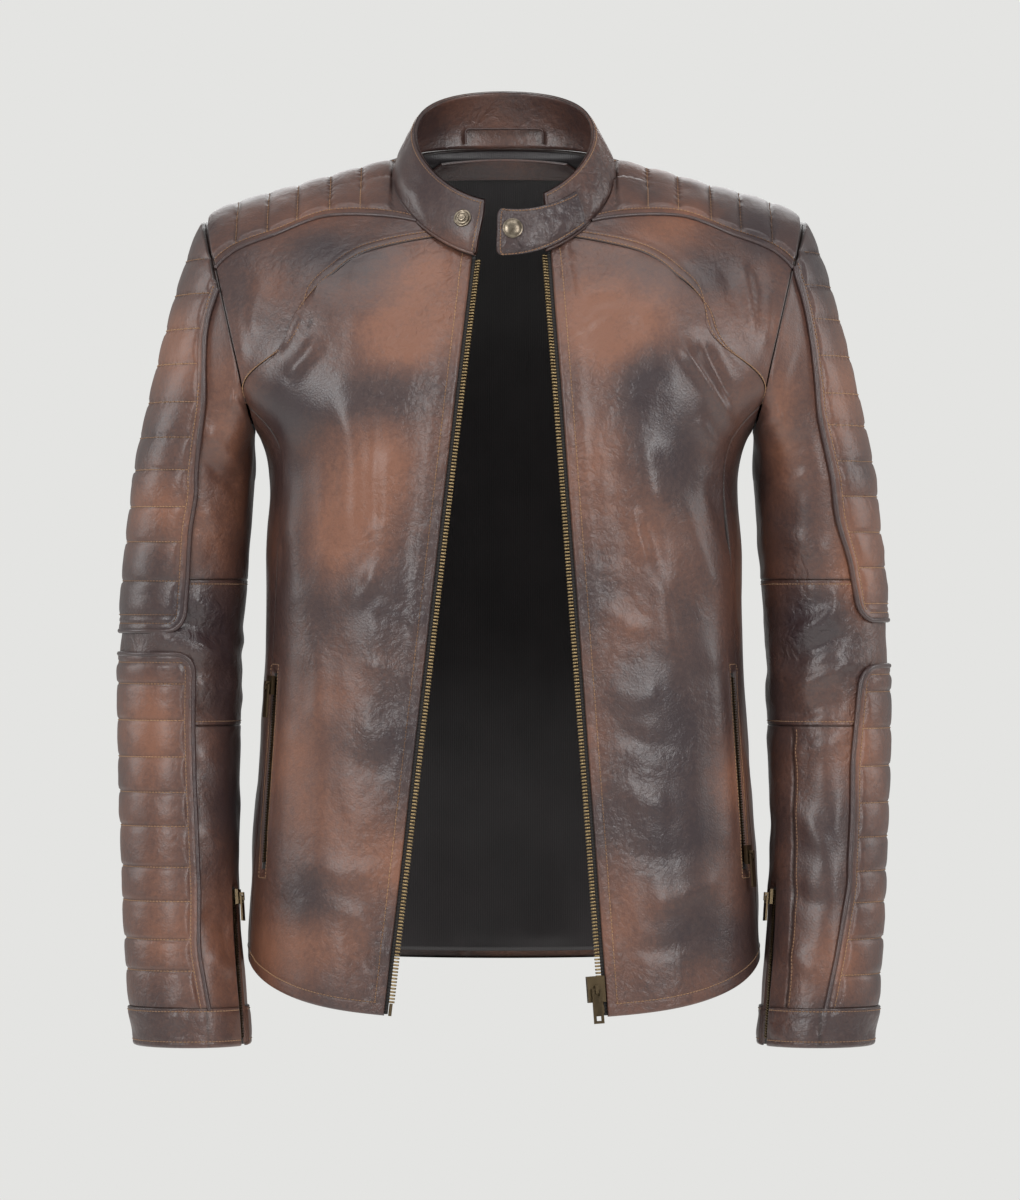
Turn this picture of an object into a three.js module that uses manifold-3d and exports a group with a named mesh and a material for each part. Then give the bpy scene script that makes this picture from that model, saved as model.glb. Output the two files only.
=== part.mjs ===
// A leather riding jacket in its worn shape, with nobody in it.
// Millimetres, +Z up, the front faces -Y, and the wearer's left is +X.
// The origin is the middle of the neck opening, at the height of the neck end of the shoulder line.
import * as THREE from "three";
import { mergeVertices } from "three/addons/utils/BufferGeometryUtils.js";
import Module from "manifold-3d";

const wasm = await Module();
wasm.setup();

// ---- Driving sizes ----
const shoulderWidth = 444; // from one armhole's top to the other's, straight across
const shoulderDrop = 50; // how far the shoulder point lies under the neck point
const chestWidth = 360; // the body's width under the arms
const waistWidth = 358;
const hipWidth = 376;
const hemWidth = 382;
const chestFront = 122; // the body's depth in front of the origin at the chest, and behind it
const chestBack = 120;
const bodyLength = 636; // neck point to the front hem
const armholeDepth = 213; // neck point to the bottom of the armhole
const neckWidth = 164;
const neckFront = 78;
const neckBack = 58;
const neckDrop = 80; // the front of the neck seam lies this far under the neck point
const sleeveLength = 660; // neck point's height to the cuff's lowest edge
const bicepWidth = 88; // the sleeve's size across and front to back, down the arm
const bicepDepth = 132;
const elbowWidth = 91;
const elbowDepth = 122;
const cuffWidth = 84;
const cuffDepth = 98;
const cuffHeight = 28;
const collarHeight = 42;
const leather = 1.5; // the leather with its fusible backing
const padThickness = 4.5; // quilted leather, foam and backing
const liningThickness = 0.8;
const seamGap = 0.5; // between two panels that are sewn edge to edge
const tapeThickness = 0.8;
const teethWidth = 4.2; // one row of teeth on the front zip
const teethThickness = 2.8;
const snapRadius = 7;
const facingWidth = 44;
const pocketLength = 142;
const cuffZipLength = 112;

// ---- Worked out from them ----
const halfShoulder = shoulderWidth / 2;
const halfChest = chestWidth / 2;
const layerGap = 0.4; // between layers that lie on each other
const tapeGap = 0.8; // between the leather and the front zip's tape, over the bend of the chest
const liningDepth = 8; // how far under the body's outer surface the lining's outer face lies
const armhole = {
  top: [halfShoulder, -shoulderDrop],
  bottom: [halfChest + 3, -armholeDepth],
};

const rad = THREE.MathUtils.degToRad;
const V = (x, y, z) => new THREE.Vector3(x, y, z);
const mix = (a, b, w) => a + (b - a) * w;
const smooth = (w) => {
  const c = Math.min(1, Math.max(0, w));
  return c * c * (3 - 2 * c);
};
const steps = (n) => Array.from({ length: n + 1 }, (_, i) => i / n);

// A smooth curve through rows of numbers, read at a whole or part row.
function through(rows, at) {
  const last = rows.length - 1;
  const i = Math.min(last - 1, Math.max(0, Math.floor(at)));
  const w = at - i;
  const row = (k) => rows[Math.min(last, Math.max(0, k))];
  return rows[0].map((_, c) => {
    const [p, q, r, s] = [row(i - 1)[c], row(i)[c], row(i + 1)[c], row(i + 2)[c]];
    const bend = (2 * p - 5 * q + 4 * r - s) * w * w + (3 * q - p - 3 * r + s) * w * w * w;
    return 0.5 * (2 * q + (r - p) * w + bend);
  });
}

// ---- The body's outer surface ----
// Each ring: half width, depth in front, depth behind, squareness, and the height in front, at the side and behind.
const hemRise = 40; // the hem is this much higher at the sides than in front
const hemSide = hemRise - bodyLength;
const down = (share) => -mix(armholeDepth, bodyLength - hemRise, share);
const bodyRings = [
  [hemWidth / 2, chestFront + 16, chestBack - 8, 0.05, -bodyLength, hemSide, hemSide - 8],
  [hipWidth / 2, chestFront + 11, chestBack - 8, 0.05, down(0.8) - 28, down(0.8), down(0.8) - 4],
  [waistWidth / 2, chestFront + 4, chestBack - 18, 0.05, down(0.47) - 12, down(0.47), down(0.47)],
  [chestWidth / 2 - 3, chestFront + 2, chestBack - 6, 0.05, down(0.23) - 6, down(0.23), down(0.23)],
  [halfChest, chestFront, chestBack, 0.05, -armholeDepth - 8, -armholeDepth, 8 - armholeDepth],
  [halfShoulder + 24, chestFront - 10, chestBack - 4, 0.04, -165, mix(-armholeDepth, -shoulderDrop, 0.39), -140],
  [halfShoulder + 22, chestFront - 19, chestBack - 16, 0.03, -130, mix(-armholeDepth, -shoulderDrop, 0.75), -85],
  [halfShoulder, chestFront - 29, chestBack - 28, 0.02, -110, -shoulderDrop, -45],
  [mix(halfShoulder, neckWidth / 2, 0.5), neckFront + 8, neckBack + 18, 0.01, -neckDrop - 15, -shoulderDrop * 0.6, -15],
  [neckWidth / 2, neckFront, neckBack, 0, -neckDrop, -16, 10],
];
const neck = bodyRings.length - 1; // the ring number of the neck seam
const armpitRing = 4;
const shoulderRing = 7;

// A point of the body: turn is 0 at the front, 90 at the wearer's left and 180 at the back; ring runs from hem to neck.
function body(turn, ring) {
  const [half, front, back, square, zFront, zSide, zBack] = through(bodyRings, ring);
  const a = rad(turn);
  const across = (Math.sin(a) + square * Math.sin(3 * a)) / (1 - square);
  const ahead = (Math.cos(a) - square * Math.cos(3 * a)) / (1 - square);
  const middle = (zFront + zBack) / 2;
  const z = middle + ((zFront - zBack) / 2) * ahead + (zSide - middle) * (1 - ahead * ahead);
  return V(half * across, -ahead * (ahead > 0 ? front : back), z);
}

// The turn and ring of the body's front, on the wearer's left, that a front view shows at x, z.
function frontSpot(x, z) {
  let best = [45, 5];
  let off = Infinity;
  let reach = [45, neck / 2];
  for (let round = 0; round < 12; round += 1) {
    const centre = best;
    for (const i of steps(12))
      for (const j of steps(12)) {
        const turn = Math.min(90, Math.max(0, centre[0] + (2 * i - 1) * reach[0]));
        const ring = Math.min(neck, Math.max(0, centre[1] + (2 * j - 1) * reach[1]));
        const p = body(turn, ring);
        const far = Math.hypot(p.x - x, p.z - z);
        if (far < off) [off, best] = [far, [turn, ring]];
      }
    reach = reach.map((r) => r * 0.45);
  }
  return best;
}

// ---- The armhole: where the body meets a plane that leans in towards the armpit ----
const armDown = V(armhole.bottom[0] - armhole.top[0], 0, armhole.bottom[1] - armhole.top[1]).normalize();
const armOut = V(-armDown.z, 0, armDown.x); // the plane's normal, away from the body
const armTop = V(armhole.top[0], 0, armhole.top[1]);
const pastArmhole = (p) => p.clone().sub(armTop).dot(armOut);

// The turn at which a ring meets the armhole's plane, on the front or the back half.
function armTurn(ring, half) {
  let inner = half === "front" ? 25 : 155;
  let outer = 90;
  for (let k = 0; k < 40; k += 1) {
    const middle = (inner + outer) / 2;
    if (pastArmhole(body(middle, ring)) < 0) inner = middle;
    else outer = middle;
  }
  return (inner + outer) / 2;
}
let armBottom = armpitRing;
while (pastArmhole(body(90, armBottom)) < 0) armBottom += 0.002;
const armpitFloor = body(90, armBottom).z - 2;

// The ring at which the armhole has a given height.
function armRing(height, half) {
  let [low, high] = [armBottom, shoulderRing];
  for (let k = 0; k < 40; k += 1) {
    const middle = (low + high) / 2;
    if (body(armTurn(middle, half), middle).z < height) low = middle;
    else high = middle;
  }
  return (low + high) / 2;
}

// Spots along the armhole between two rings, on one half. The rings bunch up towards the top and bottom.
function armArc(from, to, half, n) {
  const ease = (ring) => Math.acos(1 - (2 * (ring - armBottom)) / (shoulderRing - armBottom));
  return steps(n).map((w) => {
    const e = mix(ease(Math.max(armBottom, from)), ease(Math.min(shoulderRing, to)), w);
    const ring = armBottom + ((shoulderRing - armBottom) * (1 - Math.cos(e))) / 2;
    return [armTurn(ring, half), ring];
  });
}

// ---- Panels: a grid of spots between four edges, then a shell with a real thickness ----
const line = (a, b, n) => steps(n).map((w) => [mix(a[0], b[0], w), mix(a[1], b[1], w)]);
const spotsThrough = (spots, n) => steps(n).map((w) => through(spots, w * (spots.length - 1)));
const mirrored = (spots) => spots.map(([turn, ring]) => [360 - turn, ring]);

function patch(bottom, top, left, right) {
  const nu = bottom.length - 1;
  const nv = left.length - 1;
  return steps(nv).map((v, j) =>
    steps(nu).map((u, i) =>
      [0, 1].map((k) => {
        const corners =
          (1 - u) * (1 - v) * bottom[0][k] + u * (1 - v) * bottom[nu][k] + (1 - u) * v * top[0][k] + u * v * top[nu][k];
        return (1 - v) * bottom[i][k] + v * top[i][k] + (1 - u) * left[j][k] + u * right[j][k] - corners;
      }),
    ),
  );
}

// A surface's point, carrying the surface's outward normal.
function spotOn(surface, turn, ring) {
  const point = surface(turn, ring);
  const across = surface(turn + 0.5, ring).sub(surface(turn - 0.5, ring));
  const up = surface(turn, Math.min(neck, ring + 0.02)).sub(surface(turn, Math.max(0, ring - 0.02)));
  point.normal = across.cross(up).normalize();
  return point;
}
const copy = (p) => Object.assign(p.clone(), { normal: p.normal });

// Draws a grid's outermost rows and columns in by half of the seam's gap.
function drawnIn(grid, by = seamGap / 2) {
  const out = grid.map((row) => row.map(copy));
  const pull = (j, i, tj, ti) => {
    const d = grid[tj][ti].clone().sub(grid[j][i]);
    if (d.length() > 0) out[j][i].add(d.setLength(Math.min(by, d.length() / 2)));
  };
  const [nv, nu] = [grid.length - 1, grid[0].length - 1];
  for (let i = 0; i <= nu; i += 1) {
    pull(0, i, 1, i);
    pull(nv, i, nv - 1, i);
  }
  for (let j = 0; j <= nv; j += 1) {
    pull(j, 0, j, 1);
    pull(j, nu, j, nu - 1);
  }
  return out;
}

// The outward normals of a grid. wrap says that its columns close on themselves.
function normals(grid, wrap = false) {
  const nv = grid.length;
  const nu = grid[0].length;
  const at = (i) => (wrap ? (i + nu) % nu : Math.min(nu - 1, Math.max(0, i)));
  return grid.map((row, j) =>
    row.map((p, i) => {
      if (p.normal) return p.normal;
      const across = row[at(i + 1)].clone().sub(row[at(i - 1)]);
      const up = grid[Math.min(nv - 1, j + 1)][i].clone().sub(grid[Math.max(0, j - 1)][i]);
      return across.cross(up).normalize();
    }),
  );
}

const shifted = (grid, by, wrap = false) => {
  const n = normals(grid, wrap);
  return grid.map((row, j) => row.map((p, i) => p.clone().addScaledVector(n[j][i], by)));
};

// A closed body between an outer grid and an inner one.
function shell(outer, inner, wrap = false) {
  const nv = outer.length;
  const nu = outer[0].length;
  const points = [...outer.flat(), ...inner.flat()].flatMap((p) => [p.x, p.y, p.z]);
  const index = [];
  const quad = (a, b, c, d) => index.push(a, b, c, a, c, d);
  const o = (j, i) => j * nu + (i % nu);
  const n = (j, i) => nv * nu + o(j, i);
  const columns = wrap ? nu : nu - 1;
  for (let j = 0; j < nv - 1; j += 1)
    for (let i = 0; i < columns; i += 1) {
      quad(o(j, i), o(j, i + 1), o(j + 1, i + 1), o(j + 1, i));
      quad(n(j, i), n(j + 1, i), n(j + 1, i + 1), n(j, i + 1));
    }
  for (let i = 0; i < columns; i += 1) {
    quad(o(0, i), n(0, i), n(0, i + 1), o(0, i + 1));
    quad(o(nv - 1, i), o(nv - 1, i + 1), n(nv - 1, i + 1), n(nv - 1, i));
  }
  if (!wrap)
    for (let j = 0; j < nv - 1; j += 1) {
      quad(o(j, 0), o(j + 1, 0), n(j + 1, 0), n(j, 0));
      quad(o(j, nu - 1), n(j, nu - 1), n(j + 1, nu - 1), o(j + 1, nu - 1));
    }
  const geometry = new THREE.BufferGeometry();
  geometry.setAttribute("position", new THREE.Float32BufferAttribute(points, 3));
  geometry.setIndex(index);
  return geometry;
}

// Keeps a grid on the body's side of the armhole's plane (-1), or on the sleeve's (1). The wearer's right mirrors it.
function keptTo(grid, side) {
  for (const p of grid.flat()) {
    const past = pastArmhole(V(Math.abs(p.x), p.y, p.z));
    const off = (side * seamGap) / 2 - past;
    if (p.z < armpitFloor || side * off <= 0) continue;
    p.x += Math.sign(p.x) * armOut.x * off;
    p.z += armOut.z * off;
  }
  return grid;
}

// A panel's shell, between two distances out from its grid.
function sheet(grid, out, inside, { wrap = false, side = 0 } = {}) {
  const faces = [shifted(grid, out, wrap), shifted(grid, inside, wrap)];
  return shell(...(side ? faces.map((face) => keptTo(face, side)) : faces), wrap);
}

// The same piece for the wearer's right: mirrored, with its faces still pointing out.
function mirror(geometry) {
  const g = geometry.clone().scale(-1, 1, 1);
  const index = Array.from(g.index ? g.index.array : g.attributes.position.array.keys());
  for (let k = 0; k < index.length; k += 3) [index[k + 1], index[k + 2]] = [index[k + 2], index[k + 1]];
  return g.setIndex(index);
}

// Stands a geometry on the jacket: its z runs along down, its y faces out, and x follows from them.
function placed(geometry, origin, down, out) {
  const z = down.clone().normalize();
  const x = out.clone().cross(z).normalize();
  return geometry.clone().applyMatrix4(new THREE.Matrix4().makeBasis(x, z.clone().cross(x), z).setPosition(origin));
}

// ---- Solids for boolean cuts ----
function solid(geometry) {
  const g = geometry.clone();
  g.deleteAttribute("normal");
  g.deleteAttribute("uv");
  const merged = mergeVertices(g, 1e-4);
  const vertProperties = new Float32Array(merged.attributes.position.array);
  return new wasm.Manifold(new wasm.Mesh({ numProp: 3, vertProperties, triVerts: new Uint32Array(merged.index.array) }));
}
function geometryOf(made) {
  const mesh = made.getMesh();
  const geometry = new THREE.BufferGeometry();
  geometry.setAttribute("position", new THREE.BufferAttribute(new Float32Array(mesh.vertProperties), 3));
  geometry.setIndex(new THREE.BufferAttribute(new Uint32Array(mesh.triVerts), 1));
  return geometry;
}
const joined = (...geometries) => geometryOf(geometries.map(solid).reduce((a, b) => a.add(b)));
const cut = (geometry, ...tools) => geometryOf(tools.map(solid).reduce((a, b) => a.subtract(b), solid(geometry)));
const box = (x0, x1, y0, y1, z0, z1) =>
  new THREE.BoxGeometry(x1 - x0, y1 - y0, z1 - z0).translate((x0 + x1) / 2, (y0 + y1) / 2, (z0 + z1) / 2);

// ---- The group, its colours, and one way to add a piece ----
const jacket = new THREE.Group();
const finish = (color, roughness, metalness = 0) => new THREE.MeshStandardMaterial({ color, roughness, metalness });
const brownLeather = finish(0x5a3a2c, 0.5);
const darkLeather = finish(0x463330, 0.5);
const satin = finish(0x2a2224, 0.6);
const blackTape = finish(0x17130f, 0.9);
const brass = finish(0x8d7248, 0.35, 1);
const gunmetal = finish(0x3a3531, 0.35, 1);
function add(name, geometry, material, parent = jacket) {
  const mesh = new THREE.Mesh(geometry, material);
  mesh.name = name;
  parent.add(mesh);
  return mesh;
}

// ---- The front opening: each half's zip edge, described for the wearer's left and mirrored for the right ----
// x is where the leather stops, at the neck and at the hem. Below the chest the edge is straight.
const halves = {
  left: { xTop: 35, xHem: 76, flip: false },
  right: { xTop: 24, xHem: 88, flip: true },
};
const chestHeight = -230;
const edgeLean = Math.tan(rad(8)); // how fast the leather beside the zip falls back from the edge
const edgeFlat = 17; // the leather beside the zip is flat this far in
const edgeEase = 68; // and has joined the body's curve this much further in
const edgeY = (z) => {
  const straight = -chestFront + 4 + ((z - chestHeight) * 15) / 400;
  return straight + (z > chestHeight ? 0.00172 * (z - chestHeight) ** 2 : 0);
};
const edgeX = (half, z) => mix(half.xTop, half.xHem, (z + neckDrop) / (neckDrop - bodyLength));

// A point of one half's outer surface: the body, but flat beside the zip.
function wear(half, turn, ring) {
  const p = body(turn, ring);
  if (turn > 90 && turn < 270) return p;
  const inBy = Math.abs(p.x) - edgeX(half, p.z);
  const flat = edgeY(p.z) + edgeLean * inBy;
  p.y = mix(p.y, flat, 1 - smooth((inBy - edgeFlat) / edgeEase));
  return p;
}

// The turn at which a ring is some way in from the zip's edge, and the ring whose edge has a given height.
function turnIn(half, ring, inBy) {
  let [low, high] = [0, 80];
  for (let k = 0; k < 40; k += 1) {
    const middle = (low + high) / 2;
    const p = body(middle, ring);
    if (p.x - edgeX(half, p.z) < inBy) low = middle;
    else high = middle;
  }
  return low;
}
function ringOf(half, height, inBy) {
  let [low, high] = [0, neck];
  for (let k = 0; k < 40; k += 1) {
    const middle = (low + high) / 2;
    if (body(turnIn(half, middle, inBy), middle).z < height) low = middle;
    else high = middle;
  }
  return low;
}
const onHalf = (half, grid) => grid.map((row) => row.map((spot) => spotOn((t, r) => wear(half, t, r), ...spot)));
const onBody = (grid) => grid.map((row) => row.map((spot) => spotOn(body, ...spot)));

// ---- Seams on the body, for the wearer's left ----
const padSeamNeck = 52; // turns at the neck seam
const chestSeamNeck = 38;
const backPadSeamNeck = 125;
const frontSeamTop = armRing(-armholeDepth + 25, "front");
const backSeamTop = armRing(-armholeDepth + 12, "back");
const padSeamEnd = armRing(-shoulderDrop - 36, "front");
const backPadSeamEnd = armRing(-shoulderDrop - 30, "back");
const yokeSeamEnd = armRing(mix(-armholeDepth, -shoulderDrop, 0.38), "back");
const arm = (ring, side) => [armTurn(ring, side), ring];
const alongSeam = 6; // columns along a seam that runs from neck to armhole
const shoulderX = (share) => mix(neckWidth / 2, halfShoulder, share);
const padSeam = spotsThrough(
  [
    [padSeamNeck, neck],
    frontSpot(shoulderX(0.33), -46),
    frontSpot(shoulderX(0.65), -62),
    frontSpot(shoulderX(0.85), -74),
    arm(padSeamEnd, "front"),
  ],
  alongSeam,
);
const backPadSeam = spotsThrough(
  [
    [backPadSeamNeck, neck],
    [122, mix(neck, shoulderRing, 0.45)],
    [119, mix(neck, shoulderRing, 0.9)],
    arm(backPadSeamEnd, "back"),
  ],
  alongSeam,
);
const chestSeam = spotsThrough(
  [
    [chestSeamNeck, neck],
    frontSpot(100, -74),
    frontSpot(129, -94),
    frontSpot(152, -118),
    frontSpot(halfChest - 11, -150),
    arm(frontSeamTop, "front"),
  ],
  alongSeam,
);
const sideTurn = { front: 80, back: 114 };

// The lining's rows, and the turn at which each one meets the side seam, the armhole or the shoulder.
const liningRings = [
  ...[0, 0.2, 0.4, 0.6, 0.78, 0.9, 1].map((w) => mix(0.12, armBottom, w)),
  ...[0.03, 0.1, 0.24, 0.45, 0.65, 0.83, 0.94, 1].map((w) => mix(armBottom, shoulderRing, w)),
  ...[0.33, 0.66, 0.95].map((w) => mix(shoulderRing, neck, w)),
];
function sideAt(ring, side) {
  if (ring <= armBottom) return mix(98, 90, ring / armBottom);
  return ring >= shoulderRing ? 90 : armTurn(ring, side);
}

// ---- The outer shell, half by half ----
const pocket = { top: [169, -386], bottom: [178, -386 - pocketLength], slot: 8.6 };
const rows = 11;
const slider = { long: 14, wide: 7.6, high: 3, lift: 0.3 };

// A closed zip let into a slot: woven tape with the coil standing on it. It lies along z, from 0 downwards.
function letInZip(length, slot) {
  const wide = slot - 2 * layerGap;
  const tape = box(-wide / 2, wide / 2, -leather, -leather + tapeThickness, 0, length);
  const coil = box(-teethWidth / 2, teethWidth / 2, -leather + 0.2, 0.9, 1, length - 1);
  return joined(tape, coil);
}

// A slider's crown: the arch that the pull hangs from. base is the top of the slider.
function crowned(block, base) {
  const crown = box(-1.2, 1.2, base - 0.4, base + 3.4, -3, 3);
  const hole = new THREE.CylinderGeometry(1.3, 1.3, 4, 12).rotateZ(Math.PI / 2).translate(0, base + 1.7, 0);
  return cut(joined(block, crown), hole);
}
// The pull: a plate with a bar through the crown. Its bar is the origin.
function pull(wide, long, thick, eye) {
  const plate = box(-wide / 2, wide / 2, -thick / 2, thick / 2, -0.7, long);
  const window = box(-1.7, 1.7, -thick, thick, 0.7, 5);
  const tools = [window];
  if (eye) tools.push(box(-eye / 2, eye / 2, -thick, thick, long - 2 - eye, long - 2));
  return cut(plate, ...tools);
}
const pullThickness = 1.4;
const zipEnd = 9; // the front zip's teeth stop this far above its lower end

function zipEdge(half, put, heights) {
  const strip = (ins, at = heights) => at.map((z) => ins.map((u) => V(edgeX(half, z) + u, edgeY(z) + edgeLean * u, z)));
  const inner = -leather - tapeGap;
  const middle = inner - tapeThickness / 2;
  const gap = 0.3;
  const [hem, ...above] = heights;
  put("front_zip_tape", sheet(strip([-2.1, 11]), inner, inner - tapeThickness), blackTape);
  const half2 = teethThickness / 2;
  put("front_zip_teeth", sheet(strip([-2.1 - gap - teethWidth, -2.1 - gap], [hem + zipEnd, ...above]), middle + half2, middle - half2), brass);
}

const zipDown = (half) => {
  const [a, b] = [-300, -500].map((z) => V(edgeX(half, z), edgeY(z), z));
  return b.sub(a).normalize();
};

for (const [side, half] of Object.entries(halves)) {
  const put = (name, geometry, material) => add(`${name}_${side}`, half.flip ? mirror(geometry) : geometry, material);
  const panel = (name, grid, out, inside, material, { drawn, tool } = {}) => {
    const geometry = sheet(drawnIn(onHalf(half, grid), drawn), out, inside, { side: -1 });
    put(name, tool ? cut(geometry, tool) : geometry, material);
  };

  // The front panel, with the pocket's slot through it.
  const rings = steps(rows).map((w) => ringOf(half, mix(-bodyLength + 2, -neckDrop, w), 0));
  rings[0] = 0;
  rings[rows] = neck;
  const column = (inBy) => rings.map((ring) => [turnIn(half, ring, inBy), ring]);
  const [edge, flat] = [column(0), column(edgeFlat)];
  const neckColumns = [0, 0.45].map((w) => [mix(flat[rows][0], chestSeamNeck, w), neck]);
  const hemColumns = [0, 0.1, ...steps(alongSeam).map((w) => mix(0.2, 1, w))];
  const inner = patch(
    hemColumns.map((w) => [mix(flat[0][0], sideTurn.front, w), 0]),
    [...neckColumns, ...chestSeam],
    flat,
    line([sideTurn.front, 0], arm(frontSeamTop, "front"), rows),
  );
  const frontGrid = inner.map((row, j) => [edge[j], ...row]);
  const [slotTop, slotBottom] = [pocket.top, pocket.bottom].map(([x, z]) => wear(half, ...frontSpot(x, z)));
  const slotDown = slotBottom.clone().sub(slotTop);
  const slotOut = wear(half, ...frontSpot(pocket.top[0] - 4, (pocket.top[1] + pocket.bottom[1]) / 2))
    .sub(wear(half, ...frontSpot(pocket.top[0] + 2, (pocket.top[1] + pocket.bottom[1]) / 2)))
    .cross(slotDown)
    .normalize();
  if (slotOut.x < 0) slotOut.negate();
  const inSlot = (geometry) => placed(geometry, slotTop, slotDown, slotOut);
  const slot = inSlot(box(-pocket.slot / 2, pocket.slot / 2, -9, 9, -layerGap, pocketLength + layerGap));
  panel("front_panel", frontGrid, 0, -leather, brownLeather, { tool: slot });
  put("pocket_zip", inSlot(letInZip(pocketLength, pocket.slot)), brass);

  // Its slider: closed at the top on the wearer's right, open at the bottom on the left.
  const at = half.flip ? 8 : pocketLength - 9;
  const base = 0.9 + slider.lift;
  const block = box(-slider.wide / 2, slider.wide / 2, base, base + slider.high, -slider.long / 2, slider.long / 2);
  put("pocket_slider", inSlot(crowned(block, base + slider.high).translate(0, 0, at)), gunmetal);
  put("pocket_pull", inSlot(pull(5.4, 24, pullThickness).translate(0, base + slider.high + 1.7, at)), gunmetal);
  const bagTop = -pocket.top[1] - 10;
  const bagEnd = -pocket.bottom[1] + 30;
  const bagSide = [pocket.bottom[0] + 5, pocket.top[0] + 5];
  const bag = patch(
    line(frontSpot(128, -bagEnd), frontSpot(bagSide[0], -bagEnd), 4),
    line(frontSpot(128, -bagTop), frontSpot(bagSide[1], -bagTop), 4),
    line(frontSpot(128, -bagEnd), frontSpot(128, -bagTop), 4),
    line(frontSpot(bagSide[0], -bagEnd), frontSpot(bagSide[1], -bagTop), 4),
  );
  panel("pocket_bag", bag, -3.6, -3.6 - liningThickness, satin);

  // The zip, and the leather facing behind it.
  const heights = edge.map((spot) => wear(half, ...spot).z);
  half.hem = heights[0];
  zipEdge(half, put, heights);
  const behind = -leather - tapeGap - tapeThickness - layerGap;
  const facing = [edge, flat, column(facingWidth * 0.7), column(facingWidth)];
  const faced = onHalf(half, edge.map((_, j) => facing.map((one) => one[j])));
  put("facing", sheet(drawnIn(faced, 1), behind, 0.5 - liningDepth), brownLeather);

  // Pad, yoke and side panel.
  const overTop = [
    ...armArc(padSeamEnd, shoulderRing, "front", 3),
    ...armArc(backPadSeamEnd, shoulderRing, "back", 3).reverse().slice(1),
  ];
  const neckSide = steps(6).map((w) => [mix(padSeamNeck, backPadSeamNeck, w), neck]);
  const pad = patch(overTop, neckSide, padSeam.slice().reverse(), backPadSeam.slice().reverse());
  const [beside, last] = pad.slice(-2);
  for (let i = 1; i < last.length - 1; i += 1) last[i][1] = mix(last[i][1], beside[i][1], 0.14);
  panel("shoulder_pad", pad, padThickness / 2, -padThickness / 2, darkLeather, { drawn: 0.8 });
  panel(
    "front_yoke",
    patch(
      chestSeam,
      padSeam,
      line([chestSeamNeck, neck], [padSeamNeck, neck], 3),
      armArc(frontSeamTop, padSeamEnd, "front", 3),
    ),
    0,
    -leather,
    brownLeather,
  );
  const underArm = [
    ...armArc(armBottom, frontSeamTop, "front", 2).reverse(),
    ...armArc(armBottom, backSeamTop, "back", 2).slice(1),
  ];
  panel(
    "side_panel",
    patch(
      line([sideTurn.front, 0], [sideTurn.back, 0], 4),
      underArm,
      line([sideTurn.front, 0], arm(frontSeamTop, "front"), rows - 3),
      line([sideTurn.back, 0], arm(backSeamTop, "back"), rows - 3),
    ),
    0,
    -leather,
    darkLeather,
    { drawn: 0.8 },
  );

  // The satin lining of this half, from the facing to the side, the armhole and the shoulder.
  const lined = liningRings.map((ring) => line([turnIn(half, ring, facingWidth + 0.7), ring], [sideAt(ring, "front"), ring], 8));
  panel("lining_front", lined, -liningDepth, -liningDepth - liningThickness, satin);
}

// ---- The back ----
const yokeTurn = armTurn(yokeSeamEnd, "back");
const acrossBack = 2 * alongSeam + 4;
const yokeSeam = steps(acrossBack).map((w) => [
  mix(yokeTurn, 360 - yokeTurn, w),
  yokeSeamEnd + 0.1 * Math.sin(Math.PI * w),
]);
const sideToYoke = [
  ...line([sideTurn.back, 0], arm(backSeamTop, "back"), rows - 3),
  ...armArc(backSeamTop, yokeSeamEnd, "back", 3).slice(1),
];
const backSheet = (grid, out, inside) => sheet(drawnIn(onBody(grid)), out, inside, { side: -1 });
const backBottom = line([sideTurn.back, 0], [360 - sideTurn.back, 0], acrossBack);
add("back_panel", backSheet(patch(backBottom, yokeSeam, sideToYoke, mirrored(sideToYoke)), 0, -leather), brownLeather);
const yokeTop = [
  ...backPadSeam.slice().reverse(),
  ...line([backPadSeamNeck, neck], [360 - backPadSeamNeck, neck], 4).slice(1, -1),
  ...mirrored(backPadSeam),
];
const yokeSide = armArc(yokeSeamEnd, backPadSeamEnd, "back", 3);
add("back_yoke", backSheet(patch(yokeSeam, yokeTop, yokeSide, mirrored(yokeSide)), 0, -leather), brownLeather);
const backSpread = steps(14).map((w) => mix(w, (1 - Math.cos(Math.PI * w)) / 2, 0.6));
const liningBack = liningRings.map((ring) => {
  const turn = sideAt(ring, "back");
  return backSpread.map((w) => [mix(turn, 360 - turn, w), ring]);
});
add("lining_back", backSheet(liningBack, -liningDepth, -liningDepth - liningThickness), satin);

// ---- The stand collar ----
// Rings of the collar: half width, front, back, and the heights in front, at the side and behind.
const collarRings = [
  [neckWidth / 2, neckFront, neckBack, -neckDrop, -16, 10],
  [neckWidth / 2 - 3, neckFront + 1, neckBack + 1, -neckDrop + collarHeight * 0.33, -5, 10 + collarHeight * 0.33],
  [neckWidth / 2 - 9, neckFront - 2, neckBack - 2, -neckDrop + collarHeight * 0.66, 7, 10 + collarHeight * 0.66],
  [neckWidth / 2 - 16, neckFront - 8, neckBack - 8, -neckDrop + collarHeight, 18, 10 + collarHeight],
];
function collar(turn, up) {
  const [halfWide, front, back, zFront, zSide, zBack] = through(collarRings, up * 3);
  const a = rad(turn);
  const ahead = Math.cos(a);
  const middle = (zFront + zBack) / 2;
  const z = middle + ((zFront - zBack) / 2) * ahead + (zSide - middle) * (1 - ahead * ahead);
  return V(halfWide * Math.sin(a), -ahead * (ahead > 0 ? front : back), z);
}
const collarEnds = { left: 22, right: 345.5 };
const collarGrid = (from, to, low, high, n, m) =>
  steps(m).map((v) => steps(n).map((u) => collar(mix(from, to, u), mix(low, high, v))));
const endOf = (v) => [collarEnds.left + 4 * v, collarEnds.right + 3.5 * v - 4 * Math.max(0, v - 0.75)];
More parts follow.
